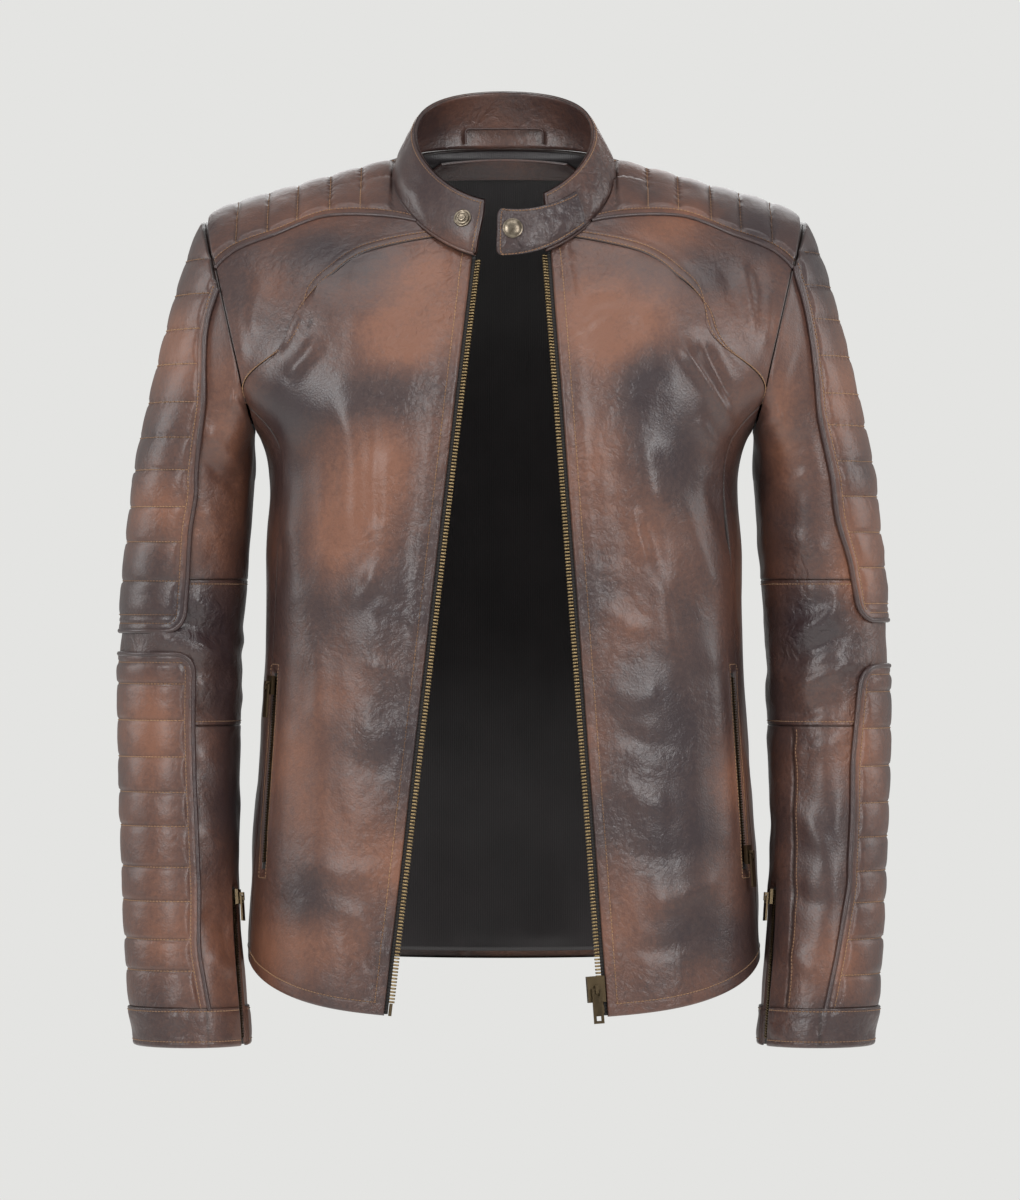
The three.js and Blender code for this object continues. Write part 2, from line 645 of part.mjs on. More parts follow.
const stand = steps(4).map((v) => steps(26).map((u) => collar(mix(...endOf(v), u), mix(0.09, 1, v))));
add("collar_outer", sheet(stand, leather + 0.2, 0.2), darkLeather);
add("collar_inner", sheet(drawnIn(stand, 1), -0.2, -0.2 - leather), darkLeather);

// The tab that closes it is sewn on the wearer's left and reaches over the opening.
const tabOn = leather + 0.2 + layerGap;
const tabTurns = [-4, 46];
const tab = steps(3).map((v) =>
  steps(6).map((u) => {
    const turn = mix(tabTurns[0], tabTurns[1], u);
    return collar(turn, mix(0.08, mix(0.84, 0.7, u), v));
  }),
);
add("collar_tab", sheet(tab, tabOn + 2, tabOn), darkLeather);

// The snap: a domed cap and its socket through the tab, a stud and its post through the collar.
function onCollar(geometry, turn, up, out) {
  const here = collar(turn, up);
  const across = collar(turn + 1, up).sub(collar(turn - 1, up));
  const down = collar(turn, up - 0.05).sub(collar(turn, up + 0.05));
  const face = across.cross(down.clone().negate()).normalize();
  return placed(geometry, here.addScaledVector(face, out), down, face);
}
const profile = (points) => new THREE.LatheGeometry(points.map(([r, h]) => new THREE.Vector2(r, h)), 20);
const disc = (r, high, dome) =>
  profile([[0, 0], [r, 0], [r, high * (dome ? 0.4 : 1)], ...(dome ? [[r * 0.7, high * 0.85]] : []), [0, high]]);
const [capTurn, studTurn, snapUp] = [4.6, 336.5, 0.56];
add("snap_cap", onCollar(disc(snapRadius + 0.5, 2.6, true), capTurn, 0.5, tabOn + 2 + 0.35), brass);
add("snap_socket", onCollar(disc(snapRadius - 1, 1.8), capTurn, 0.5, tabOn - 0.9 - 1.8), brass);
const stud = profile([[0, 0], [snapRadius - 0.3, 0], [snapRadius - 0.3, 0.9], [4.2, 1.1], [3, 1.1], [3, 3], [0, 3]]);
add("snap_stud", onCollar(stud, studTurn, snapUp, leather + 0.2 + 0.35), brass);
add("snap_post", onCollar(disc(snapRadius - 1, 1), studTurn, snapUp, -0.2 - leather - 0.9 - 1), brass);

// ---- Inside the back of the neck: a leather patch and the loop the jacket hangs from ----
const patchSpots = patch(
  line([150, neck - 0.75], [210, neck - 0.75], 4),
  line([146, neck - 0.16], [214, neck - 0.16], 4),
  line([150, neck - 0.75], [146, neck - 0.16], 1),
  line([210, neck - 0.75], [214, neck - 0.16], 1),
);
const patchDepth = liningDepth + liningThickness + 1.5;
add("neck_patch", sheet(onBody(patchSpots), -patchDepth, -patchDepth - 1.2), darkLeather);
const loop = { wide: 60, high: 12, deep: 5, strap: 1.8 };
const loopArch = cut(
  box(-loop.wide / 2, loop.wide / 2, 0, loop.deep, 0, loop.high),
  box(-loop.wide / 2 + loop.strap, loop.wide / 2 - loop.strap, -1, loop.deep + 1, -1, loop.high - loop.strap),
);
const loopFoot = collar(180 - THREE.MathUtils.radToDeg(Math.asin(loop.wide / neckWidth)), 0.2);
const loopAt = V(0, loopFoot.y - leather - 1.5 - loop.deep, loopFoot.z - 4);
add("hanger_loop", loopArch.translate(...loopAt.toArray()), darkLeather);

// ---- The front zip's slider, its pull, and the parts at the zip's lower end ----
const leftDown = zipDown(halves.left);
const rightDown = zipDown(halves.right);
const edgeOut = (half) => V(edgeLean, -1, 0).addScaledVector(zipDown(half), -V(edgeLean, -1, 0).dot(zipDown(half)));
function onEdge(geometry, half, z, u) {
  const depth = -leather - tapeGap - tapeThickness / 2;
  const out = edgeOut(half).normalize();
  const at = V(edgeX(half, z) + u, edgeY(z) + edgeLean * u, z).addScaledVector(out, depth);
  return placed(geometry, at, zipDown(half), out);
}
const rowCentre = -2.1 - 0.3 - teethWidth / 2;
const meet = rowCentre - teethWidth / 2; // the line on which the two rows meet
const bite = { wide: 13, long: 19, high: 6.4, wall: 1.1 };
const sliderZ = halves.left.hem + zipEnd + 11;
const channel = teethThickness / 2 + 0.4;
const biteBlock = cut(
  box(-bite.wide / 2, bite.wide / 2, -bite.high / 2, bite.high / 2, -bite.long / 2, bite.long / 2),
  box(0.3, bite.wide, -channel, channel, -bite.long, bite.long),
  box(-bite.wide, -1.9, -channel, channel, -bite.long, bite.long),
);
add("front_slider", onEdge(crowned(biteBlock, bite.high / 2), halves.left, sliderZ, meet - 0.6), gunmetal);
const frontPull = pull(7.6, 25, pullThickness, 3.4).translate(0, bite.high / 2 + 1.7, 0);
add("front_pull", onEdge(frontPull, halves.left, sliderZ, meet - 0.6), gunmetal);
const retainer = box(-teethWidth / 2, teethWidth / 2, -1.9, 1.9, 0.4, 6.4);
add("zip_retainer_box", onEdge(retainer, halves.left, halves.left.hem + zipEnd, rowCentre), gunmetal);
const pin = box(-0.9, 1.3, -1, 1, 0.4, 9.4);
add("zip_insertion_pin", mirror(onEdge(pin, halves.right, halves.right.hem + zipEnd, rowCentre)), gunmetal);

// ---- The sleeves ----
// The armhole's points by angle about its middle: 0 is the top, -90 the front and 180 the armpit.
const armMiddle = V((armhole.top[0] + armhole.bottom[0]) / 2, 4, (armhole.top[1] + armhole.bottom[1]) / 2);
const aroundArm = (p) => {
  const d = p.clone().sub(armMiddle);
  return THREE.MathUtils.radToDeg(Math.atan2(d.y, -d.dot(armDown)));
};
const armPoints = ["front", "back"]
  .flatMap((side) => armArc(armBottom, shoulderRing, side, 90).map((spot) => body(...spot)))
  .map((p) => [aroundArm(p), p])
  .sort((a, b) => a[0] - b[0]);
function armLoop(angle) {
  const a = ((((angle + 180) % 360) + 360) % 360) - 180;
  const next = armPoints.findIndex(([b]) => b >= a);
  if (next <= 0) return armPoints[next === 0 ? 0 : armPoints.length - 1][1].clone();
  const [[a0, p0], [a1, p1]] = [armPoints[next - 1], armPoints[next]];
  return p0.clone().lerp(p1, a1 > a0 ? (a - a0) / (a1 - a0) : 0);
}

// Each level of the arm below the sleeve's head: height, then the middle and the half sizes across and deep.
const headEnd = -242;
const elbow = { z: -360, y: -14, up: -316, low: -424 };
const cuffTop = cuffHeight - sleeveLength;
const levels = [
  [headEnd, 231, 5, bicepWidth / 2, bicepDepth / 2],
  [elbow.up, 237, 6, elbowWidth / 2, mix(bicepDepth, elbowDepth, 0.8) / 2],
  [elbow.z, 240, 5, elbowWidth / 2, elbowDepth / 2],
  [elbow.low, 241, 1, elbowWidth / 2 - 1, elbowDepth / 2 - 3],
  [-500, 240, -12, mix(elbowWidth, cuffWidth, 0.8) / 2, mix(elbowDepth, cuffDepth, 0.7) / 2],
  [-580, 237, -23, cuffWidth / 2, cuffDepth / 2 + 1],
  [-sleeveLength, 231, -34, cuffWidth / 2, cuffDepth / 2],
];
// The height's level, as a part row of the list.
function levelAt(z) {
  const i = Math.max(0, levels.findIndex(([height]) => height < z) - 1);
  const k = z <= levels[levels.length - 1][0] ? levels.length - 2 : i;
  return k + (z - levels[k][0]) / (levels[k + 1][0] - levels[k][0]);
}
function tube(angle, z) {
  const [, x, y, wide, deep] = through(levels, levelAt(z));
  const a = rad(angle);
  return V(x + wide * Math.cos(a), y + deep * Math.sin(a), z);
}
// The sleeve's head bends from the armhole, at 0, down to the first level, at 1.
function head(angle, along) {
  const outer = (1 + Math.cos(rad(angle))) / 2;
  const [start, end] = [armLoop(angle), tube(angle, headEnd)];
  const leave = V(mix(10, 62, outer), 0, mix(-26, -112, outer));
  const arrive = V(mix(6, 20, outer), 0, mix(-26, -110, outer));
  const w = along;
  return start
    .clone()
    .multiplyScalar((1 + 2 * w) * (1 - w) ** 2)
    .addScaledVector(leave, w * (1 - w) ** 2)
    .addScaledVector(end, w * w * (3 - 2 * w))
    .addScaledVector(arrive, w * w * (w - 1));
}
// Below 0 a station is a share of the head, from the armhole; the others are heights.
const sleeve = (angle, station) => (station >= 0 ? head(angle, station) : tube(angle, station));

const around = 16;
const angles = Array.from({ length: around }, (_, i) => -180 + (360 * i) / around);
const headStations = [1, 0.8, 0.6, 0.4, 0.22, 0.08, 0];
const loopGrid = (stations) => stations.map((s) => angles.map((a) => sleeve(a, s)));
const upperStations = [elbow.up + seamGap / 2, -282, ...headStations];
const elbowStations = [elbow.low + seamGap / 2, -404, -382, elbow.z, -338, elbow.up - seamGap / 2];
const foreStations = [-sleeveLength + 1.5, cuffTop, -606, -580, -545, -510, -466, elbow.low - seamGap / 2];

const cuffZip = { angle: -158, top: -sleeveLength + 4 + cuffZipLength, slot: 7.6 };
const padAngle = { front: -82, back: 80 };

for (const [side, flip] of [["left", false], ["right", true]]) {
  const put = (name, geometry, material) => add(`${name}_${side}`, flip ? mirror(geometry) : geometry, material);
  const ringed = (stations, out, inside) => sheet(loopGrid(stations), out, inside, { wrap: true, side: 1 });
  put("sleeve_upper", ringed(upperStations, 0, -leather), brownLeather);
  put("sleeve_elbow", ringed(elbowStations, 0, -leather), brownLeather);

  // The cuff's zip is straight, in a slot that is open at the cuff.
  const zipTop = tube(cuffZip.angle, cuffZip.top);
  const zipEnd = tube(cuffZip.angle, -sleeveLength + 2);
  const zipDownwards = zipEnd.clone().sub(zipTop);
  const length = zipDownwards.length();
  const zipOut = V(Math.cos(rad(cuffZip.angle)) * cuffDepth, Math.sin(rad(cuffZip.angle)) * cuffWidth, 0);
  const inCuff = (geometry) => placed(geometry, zipTop, zipDownwards, zipOut);
  const slot = inCuff(box(-cuffZip.slot / 2, cuffZip.slot / 2, -6, 6, -layerGap, length + 20));
  put("sleeve_forearm", cut(ringed(foreStations, 0, -leather), slot), brownLeather);
  put("cuff_zip", inCuff(letInZip(length - 1, cuffZip.slot)), brass);
  const base = 0.9 + slider.lift;
  const block = box(-3.3, 3.3, base, base + 2.4, -5.5, 5.5);
  put("cuff_slider", inCuff(crowned(block, base + 2.4).translate(0, 0, 7)), gunmetal);
  put("cuff_pull", inCuff(pull(5, 18, pullThickness).translate(0, base + 2.4 + 1.7, 7)), gunmetal);

  // The cuff's turned-up band stops either side of the zip.
  const bandFrom = cuffZip.angle + 7.5;
  const bandGrid = [-sleeveLength, -sleeveLength + 9, -sleeveLength + 18, cuffTop].map((z) =>
    [bandFrom, ...angles.filter((a) => a > bandFrom + 4), -180 + 360, cuffZip.angle - 7.5 + 360].map((a) => tube(a, z)),
  );
  put("cuff_band", sheet(bandGrid, 0.5 + leather, 0.5), darkLeather);

  // Quilted pads lie over the sleeve's outer side.
  const between = angles.filter((a) => a > padAngle.front + 6 && a < padAngle.back - 6);
  const frontEdge = (station) => (station >= 0 ? mix(-58, padAngle.front, smooth(station)) : padAngle.front + 4);
  const backEdge = (station) => (station >= 0 ? mix(58, padAngle.back, smooth(station)) : padAngle.back);
  const padRow = (station) => {
    const [from, to] = [frontEdge(station), backEdge(station)];
    const inside = between.map((a) => Math.min(to - 3, Math.max(from + 3, a)));
    return [from, ...inside, to].map((a) => sleeve(a, station));
  };
  const upperPad = [-346, -332, elbow.up, -282, 1, 0.8, 0.6, 0.4, 0.22, 0.1, 0.04].map(padRow);
  put("upper_arm_pad", sheet(upperPad, 0.55 + padThickness - 0.5, 0.55, { side: 1 }), darkLeather);
  const forePad = [cuffTop + 1, -606, -580, -545, -510, -466, elbow.low, -404, -388, -375].map(padRow);
  put("forearm_pad", sheet(forePad, 0.55 + padThickness - 0.5, 0.55), darkLeather);

  const inStations = [-sleeveLength + 8, -606, -545, -480, elbow.low, -390, elbow.z, elbow.up, 1, 0.6, 0.3, 0.06];
  put("sleeve_lining", ringed(inStations, -3.4, -3.4 - liningThickness), satin);
}

export default jacket;
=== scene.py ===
import math

import bpy
import numpy as np
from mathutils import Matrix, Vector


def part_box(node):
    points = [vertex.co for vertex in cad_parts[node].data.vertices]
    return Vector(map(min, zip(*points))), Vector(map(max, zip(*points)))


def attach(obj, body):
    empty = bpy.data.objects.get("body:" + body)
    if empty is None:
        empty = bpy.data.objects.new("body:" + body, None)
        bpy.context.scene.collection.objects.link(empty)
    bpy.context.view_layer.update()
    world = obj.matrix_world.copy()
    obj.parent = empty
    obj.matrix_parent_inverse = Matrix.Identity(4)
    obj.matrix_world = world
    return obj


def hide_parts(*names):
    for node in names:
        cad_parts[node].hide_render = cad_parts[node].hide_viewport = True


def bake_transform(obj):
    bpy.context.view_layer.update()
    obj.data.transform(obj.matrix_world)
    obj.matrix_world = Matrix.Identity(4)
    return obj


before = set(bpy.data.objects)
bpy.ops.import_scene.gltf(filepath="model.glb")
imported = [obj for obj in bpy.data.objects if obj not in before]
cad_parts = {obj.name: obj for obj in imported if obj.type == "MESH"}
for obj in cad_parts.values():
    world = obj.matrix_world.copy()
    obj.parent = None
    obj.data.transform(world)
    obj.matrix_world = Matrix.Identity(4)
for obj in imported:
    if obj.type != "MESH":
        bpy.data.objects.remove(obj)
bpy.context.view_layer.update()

# ---- The front panels ----
# Each front is one panel of waxed sheep leather, 1.5 mm thick with its backing, cut to the worn shape.
# Its edges are turned in at every seam, its hem is turned up, and a row of stitches holds the zip's margin.
body_rings = np.array([  # half width, depth ahead, depth behind, squareness, height ahead, beside, behind
    [191, 138, 112, 0.05, -636, -596, -604],
    [188, 133, 112, 0.05, -547.4, -519.4, -523.4],
    [179, 126, 102, 0.05, -405, -393, -393],
    [177, 124, 114, 0.05, -307.1, -301.1, -301.1],
    [180, 122, 120, 0.05, -221, -213, -205],
    [246, 112, 116, 0.04, -165, -149.4, -140],
    [244, 103, 104, 0.03, -130, -90.8, -85],
    [222, 93, 92, 0.02, -110, -50, -45],
    [152, 86, 76, 0.01, -95, -30, -15],
    [82, 78, 58, 0, -80, -16, 10],
])
neck, shoulder = 9, 7
arm_top, arm_foot = np.array([222.0, 0, -50]), np.array([183.0, 0, -213])
arm_down = (arm_foot - arm_top) / np.linalg.norm(arm_foot - arm_top)
arm_out = np.array([-arm_down[2], 0, arm_down[0]])  # square to the armhole's plane, away from the body
leather = 1.5


def smooth(w):
    w = np.clip(w, 0, 1)
    return w * w * (3 - 2 * w)


def mix(a, b, w):
    return a + (b - a) * w


def through(rows, at):
    """A smooth curve through rows of numbers, read at whole or part rows."""
    rows, at = np.asarray(rows, float), np.asarray(at, float)
    i = np.clip(np.floor(at), 0, len(rows) - 2).astype(int)
    w = (at - i)[..., None]
    p, q, r, s = (rows[np.clip(i + k, 0, len(rows) - 1)] for k in (-1, 0, 1, 2))
    return q + 0.5 * ((r - p) * w + (2 * p - 5 * q + 4 * r - s) * w**2 + (3 * q - p - 3 * r + s) * w**3)


def body(turn, ring):
    """The jacket's outer surface: turn 0 is the front and 90 the wearer's left, ring 0 the hem and 9 the neck."""
    turn, ring = np.broadcast_arrays(np.asarray(turn, float), np.asarray(ring, float))
    half, front, back, square, z_front, z_side, z_back = np.moveaxis(through(body_rings, ring), -1, 0)
    a = np.radians(turn)
    across = (np.sin(a) + square * np.sin(3 * a)) / (1 - square)
    ahead = (np.cos(a) - square * np.cos(3 * a)) / (1 - square)
    middle = (z_front + z_back) / 2
    z = middle + (z_front - z_back) / 2 * ahead + (z_side - middle) * (1 - ahead**2)
    return np.stack([half * across, -ahead * np.where(ahead > 0, front, back), z], -1)


# where the leather stops beside the zip, at the neck and hem
zip_margin = {"left": (35, 76), "right": (24, 88)}


def edge_x(side, z):
    top, hem = zip_margin[side]
    return mix(top, hem, (z + 80) / (80 - 636))


def edge_y(z):
    return -118 + (z + 230) * 15 / 400 + np.where(z > -230, 0.00172 * (z + 230) ** 2, 0)


lean = math.tan(math.radians(8))


def worn(side):
    """One half's surface: the body's, but flat beside the zip."""
    def surface(turn, ring):
        p = body(turn, ring)
        inside = np.abs(p[..., 0]) - edge_x(side, p[..., 2])
        w = 1 - smooth((inside - 17) / 68)
        w = np.where((np.asarray(turn) > 90) & (np.asarray(turn) < 270), 0, w)
        p[..., 1] = mix(p[..., 1], edge_y(p[..., 2]) + lean * inside, w)
        return p
    return surface


def last_true(test, low, high):
    low, high = np.asarray(low, float), np.asarray(high, float)
    for _ in range(34):
        middle = (low + high) / 2
        ok = test(middle)
        low, high = np.where(ok, middle, low), np.where(ok, high, middle)
    return low


def turn_in(side, ring, far):
    """The turn at which a ring is that far in from the zip's edge."""
    def short(turn):
        p = body(turn, ring)
        return p[..., 0] - edge_x(side, p[..., 2]) < far
    return last_true(short, np.zeros(np.shape(ring)), np.full(np.shape(ring), 80.0))


def past_arm(p):
    return (p - arm_top) @ arm_out


def arm_turn(ring, half):
    start = np.full(np.shape(ring), 25.0 if half == "front" else 155.0)
    return last_true(lambda turn: past_arm(body(turn, ring)) < 0, start, np.full(np.shape(ring), 90.0))


arm_bottom = float(last_true(lambda ring: past_arm(body(90.0, ring)) < 0, 4.0, 4.6))


def arm_ring(height, half):
    return float(last_true(lambda ring: body(arm_turn(ring, half), ring)[..., 2] < height, arm_bottom, 7.0))


def arm_arc(start, end, half):
    """Spots along the armhole between two rings, as a curve."""
    def ease(ring):
        return np.arccos(1 - 2 * (np.clip(ring, arm_bottom, shoulder) - arm_bottom) / (shoulder - arm_bottom))
    def curve(w):
        ring = arm_bottom + (shoulder - arm_bottom) * (1 - np.cos(mix(ease(start), ease(end), w))) / 2
        return np.stack([arm_turn(ring, half), ring], -1)
    return curve


def spot_at(x, z):
    """The turn and ring of the front that a front view shows at x, z."""
    best, reach, w = np.array([45.0, 5]), np.array([45.0, 4.5]), np.linspace(-1, 1, 13)
    for _ in range(12):
        turn, ring = np.meshgrid(np.clip(best[0] + w * reach[0], 0, 90),
                                 np.clip(best[1] + w * reach[1], 0, 9))
        p = body(turn, ring)
        k = np.argmin(np.hypot(p[..., 0] - x, p[..., 2] - z))
        best, reach = np.array([turn.flat[k], ring.flat[k]]), reach * 0.45
    return list(best)


def straight(a, b):
    return lambda w: mix(np.array(a, float), np.array(b, float), np.asarray(w)[..., None])


def spline(*spots):
    return lambda w: through(spots, np.asarray(w) * (len(spots) - 1))


def chain(*parts):
    """One curve out of several, each with the share of the whole at which it ends."""
    def curve(w):
        w, out, start = np.asarray(w, float), None, 0.0
        for end, part in parts:
            at = part(np.clip((w - start) / (end - start), 0, 1))
            out = at if out is None else np.where((w > start)[..., None], at, out)
            start = end
        return out
    return curve


front_seam_top = arm_ring(-188, "front")
back_seam_top = arm_ring(-201, "back")
pad_seam_end = arm_ring(-86, "front")
back_pad_end = arm_ring(-80, "back")
yoke_end = arm_ring(-151.1, "back")
chest_seam = spline([38, neck], spot_at(100, -74), spot_at(129, -94), spot_at(152, -118), spot_at(169, -150),
                    [float(arm_turn(front_seam_top, "front")), front_seam_top])
pad_seam = spline([52, neck], spot_at(128.2, -46), spot_at(173, -62), spot_at(201, -74),
                  [float(arm_turn(pad_seam_end, "front")), pad_seam_end])
side_front = straight([80, 0], [float(arm_turn(front_seam_top, "front")), front_seam_top])
side_back = straight([114, 0], [float(arm_turn(back_seam_top, "back")), back_seam_top])


def stops(length, step, close=(0, 0.5, 1.1, 1.8, 2.8, 4), fine=()):
    """Shares of a length at which a grid has its lines: close together at both ends and over each fine stretch."""
    at = sorted([*close, *[length - c for c in close],
                 *np.arange(close[-1] + step, length - close[-1] - step / 2, step)])
    for low, high, small in fine:
        at = [a for a in at if not low < a < high] + list(np.arange(low, high, small))
    at = np.unique(np.round(at, 3))
    return at[np.concatenate([[True], np.diff(at) > 0.3])] / length


def grid(surface, bottom, top, left, right, step=2.6, fine_u=(), fine_v=(), close=(0, 0.5, 1.1, 1.8, 2.8, 4)):
    """Points on a surface between four edge curves, with the lines' normals and their distances from each edge."""
    w = np.linspace(0, 1, 60)
    def length(curve):
        return np.linalg.norm(np.diff(surface(*curve(w).T), axis=0), axis=1).sum()
    u = stops((length(bottom) + length(top)) / 2, step, close, fine_u)
    v = stops((length(left) + length(right)) / 2, step, close, fine_v)
    b, t, l, r = bottom(u)[None], top(u)[None], left(v)[:, None], right(v)[:, None]
    uu, vv = u[None, :, None], v[:, None, None]
    corners = (1 - uu) * (1 - vv) * b[:, :1] + uu * (1 - vv) * b[:, -1:] + (1 - uu) * vv * t[:,
        :1] + uu * vv * t[:, -1:]
    spots = (1 - vv) * b + vv * t + (1 - uu) * l + uu * r - corners
    return laid(surface, spots[..., 0], spots[..., 1])


def laid(surface, turn, ring, high=9.0):
    """A grid of spots put on a surface: its points, normals and distances along its lines."""
    p = surface(turn, ring)
    across = surface(turn + 0.4, ring) - surface(turn - 0.4, ring)
    up = surface(turn, np.minimum(high, ring + 0.015)) - surface(turn, np.maximum(0, ring - 0.015))
    n = np.cross(across, up)
    n /= np.linalg.norm(n, axis=-1, keepdims=True)
    return measured(p, n)


def measured(p, n):
    du = np.linalg.norm(np.diff(p, axis=1), axis=-1)
    dv = np.linalg.norm(np.diff(p, axis=0), axis=-1)
    left = np.concatenate([np.zeros((len(p), 1)), np.cumsum(du, 1)], 1)
    low = np.concatenate([np.zeros((1, p.shape[1])), np.cumsum(dv, 0)], 0)
    return {"p": p, "n": n, "left": left, "right": left[:, -1:] - left, "low": low, "top": low[-1:] - low}


def mirrored(g):
    """The same grid on the wearer's right."""
    flip = np.array([-1, 1, 1])
    return {**g, "p": g["p"] * flip, "n": g["n"] * flip, "flip": True}


def ripple(p, size, seed=0):
    """Smooth noise about -1 to 1, with lumps of that size in millimetres."""
    q = p / np.asarray(size, float) + seed * 7.31
    i = np.floor(q).astype(np.int64)
    f = q - i
    f = f * f * (3 - 2 * f)
    total = 0
    for corner in np.ndindex(2, 2, 2):
        c = i + np.array(corner)
        key = (c[..., 0] * 73856093) ^ (c[..., 1] * 19349663) ^ (c[..., 2] * 83492791)
        key = (key ^ (key >> 13)) * 1274126177
        value = ((key ^ (key >> 16)) & 1023) / 511.5 - 1
        w = np.prod(np.where(np.array(corner) == 1, f, 1 - f), -1)
        total = total + value * w
    return total


def fold(p, line, wide, high, dims=(0, 2)):
    """A ridge, or a valley where high is below 0, along a line of points in the front view."""
    q, line = p[..., list(dims)], np.array(line, float)
    far, along = np.full(q.shape[:-1], 1e9), np.zeros(q.shape[:-1])
    pieces = np.linalg.norm(np.diff(line, axis=0), axis=1)
    start = 0.0
    for a, b, size in zip(line[:-1], line[1:], pieces):
        t = np.clip(((q - a) @ (b - a)) / size**2, 0, 1)
        d = np.linalg.norm(q - a - t[..., None] * (b - a), axis=-1)
        along = np.where(d < far, start + t * size, along)
        far = np.minimum(far, d)
        start += size
    ends = smooth(along / start * 3.5) * smooth((1 - along / start) * 3.5)
    return high * np.exp(-((far / wide) ** 2)) * (0.15 + 0.85 * ends)


def turned(far, deep=1.5, wide=1.8):
    """How far leather sinks at a turned edge, rounding over into the seam."""
    return -deep * (1 - np.sqrt(1 - np.clip(1 - far / wide, 0, 1) ** 2))


def stitched(far, at, deep=0.35, wide=1.0):
    return -deep * np.exp(-(((far - at) / wide) ** 2))


def puckers(p, far, at, reach, high, size=4.6, seed=3):
    """Small gathers beside a row of stitches, square to it."""
    return high * ripple(p, size, seed) * np.exp(-(((far - at) / reach) ** 2))


# patches where the dark wax is rubbed back to tan, and left dark (below 0): x, z, reaches, amount
rubbed = np.array([
    [-52, -112, 34, 40, 0.75], [-82, -138, 26, 20, 0.55], [-95, -255, 22, 60, 0.35],
                   [-124, -290, 16, 52, 0.45],
    [-78, -235, 24, 30, 0.3], [-156, -450, 22, 46, 0.55], [-120, -400, 24, 26, 0.3], [-72, -525, 40, 26, 0.4],
    [-140, -585, 50, 22, 0.4], [-172, -98, 16, 20, 0.4], [-150, -45, 40, 22, 0.3], [-247, -152, 26, 34, 0.6],
    [-254, -262, 24, 22, 0.45], [-262, -425, 26, 36, 0.5], [-250, -590, 24, 40, 0.25],
                   [-200, -190, 18, 40, 0.35],
    [-100, -182, 72, 20, -0.5], [-160, -235, 15, 46, -0.45], [-86, -332, 50, 26, -0.4],
                   [-70, -430, 40, 44, -0.4],
    [-150, -545, 22, 22, -0.5], [-84, -585, 22, 26, -0.3], [-130, -75, 30, 14, -0.4],
                   [-225, -345, 40, 26, -0.5],
    [86, -126, 42, 36, 0.75], [64, -196, 26, 60, 0.4], [182, -305, 12, 40, 0.5], [168, -470, 24, 56, 0.65],
    [92, -300, 26, 34, 0.25], [92, -345, 24, 24, 0.4], [60, -440, 14, 40, 0.3], [84, -560, 30, 34, 0.45],
    [110, -60, 24, 16, 0.35], [140, -48, 22, 16, 0.35], [249, -190, 18, 60, 0.4], [262, -310, 20, 34, 0.6],
    [262, -440, 22, 26, 0.35], [246, -600, 24, 30, 0.5], [205, -200, 12, 50, 0.45],
    [106, -172, 34, 22, -0.45], [70, -330, 34, 34, -0.45], [126, -420, 36, 56, -0.45],
                   [138, -500, 34, 30, -0.5],
    [150, -575, 44, 20, -0.35], [190, -56, 14, 20, -0.5], [236, -88, 24, 22, -0.4],
                   [258, -232, 20, 24, -0.45],
    [225, -350, 34, 30, -0.6], [246, -500, 26, 40, -0.4], [150, -90, 24, 16, -0.35],
                   [122, -230, 22, 30, -0.3],
])


def rub(p):
    """0 where the wax is dark and 1 where it is rubbed to tan."""
    x, y, z = np.moveaxis(p, -1, 0)
    ahead = smooth((30 - y) / 60)
    total = 0.46 + 0.26 * ripple(p, 74, 5) + 0.12 * ripple(p, 30, 8)
    for px, pz, rx, rz, amount in rubbed:
        total = total + amount * np.exp(-(((x - px) / rx) ** 2) - ((z - pz) / rz) ** 2) * ahead
    return np.clip(total + (1 - ahead) * 0.3 * ripple(p, 90, 12), 0, 1)


def mesh_piece(name, points, faces, facts, material, body_name):
    """A mesh object out of millimetre points and faces, riding on a body when it is given one by name, and left
    where it is otherwise.
    """
    mesh = bpy.data.meshes.new(name)
    mesh.vertices.add(len(points))
    mesh.vertices.foreach_set("co", (np.asarray(points) / 1000).astype(np.float32).ravel())
    sizes = np.array([len(f) for f in faces]) if isinstance(faces, list) else np.full(len(faces),
        faces.shape[1])
    loops = np.concatenate([np.asarray(f) for f in faces]) if isinstance(faces, list) else faces.ravel()
    mesh.loops.add(len(loops))
    mesh.loops.foreach_set("vertex_index", loops.astype(np.int32))
    mesh.polygons.add(len(sizes))
    mesh.polygons.foreach_set("loop_start", np.concatenate([[0], np.cumsum(sizes)[:-1]]).astype(np.int32))
    mesh.update(calc_edges=True)
    mesh.shade_smooth()
    for key, values in facts.items():
        mesh.attributes.new(key, "FLOAT", "POINT").data.foreach_set("value",
            np.asarray(values, np.float32).ravel())
    mesh.materials.append(material)
    piece = bpy.data.objects.new(f"worn_{name}", mesh)
    bpy.context.scene.collection.objects.link(piece)
    if isinstance(body_name, str):
        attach(piece, body_name)
    else:
        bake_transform(piece)
    return piece


def lattice(nv, nu, wrap=False):
    """The quads of a grid, facing its normals' side."""
    j, i = np.meshgrid(np.arange(nv - 1), np.arange(nu if wrap else nu - 1), indexing="ij")
    k = (i + 1) % nu
    return np.stack([j * nu + i, j * nu + k, (j + 1) * nu + k, (j + 1) * nu + i], -1).reshape(-1, 4)


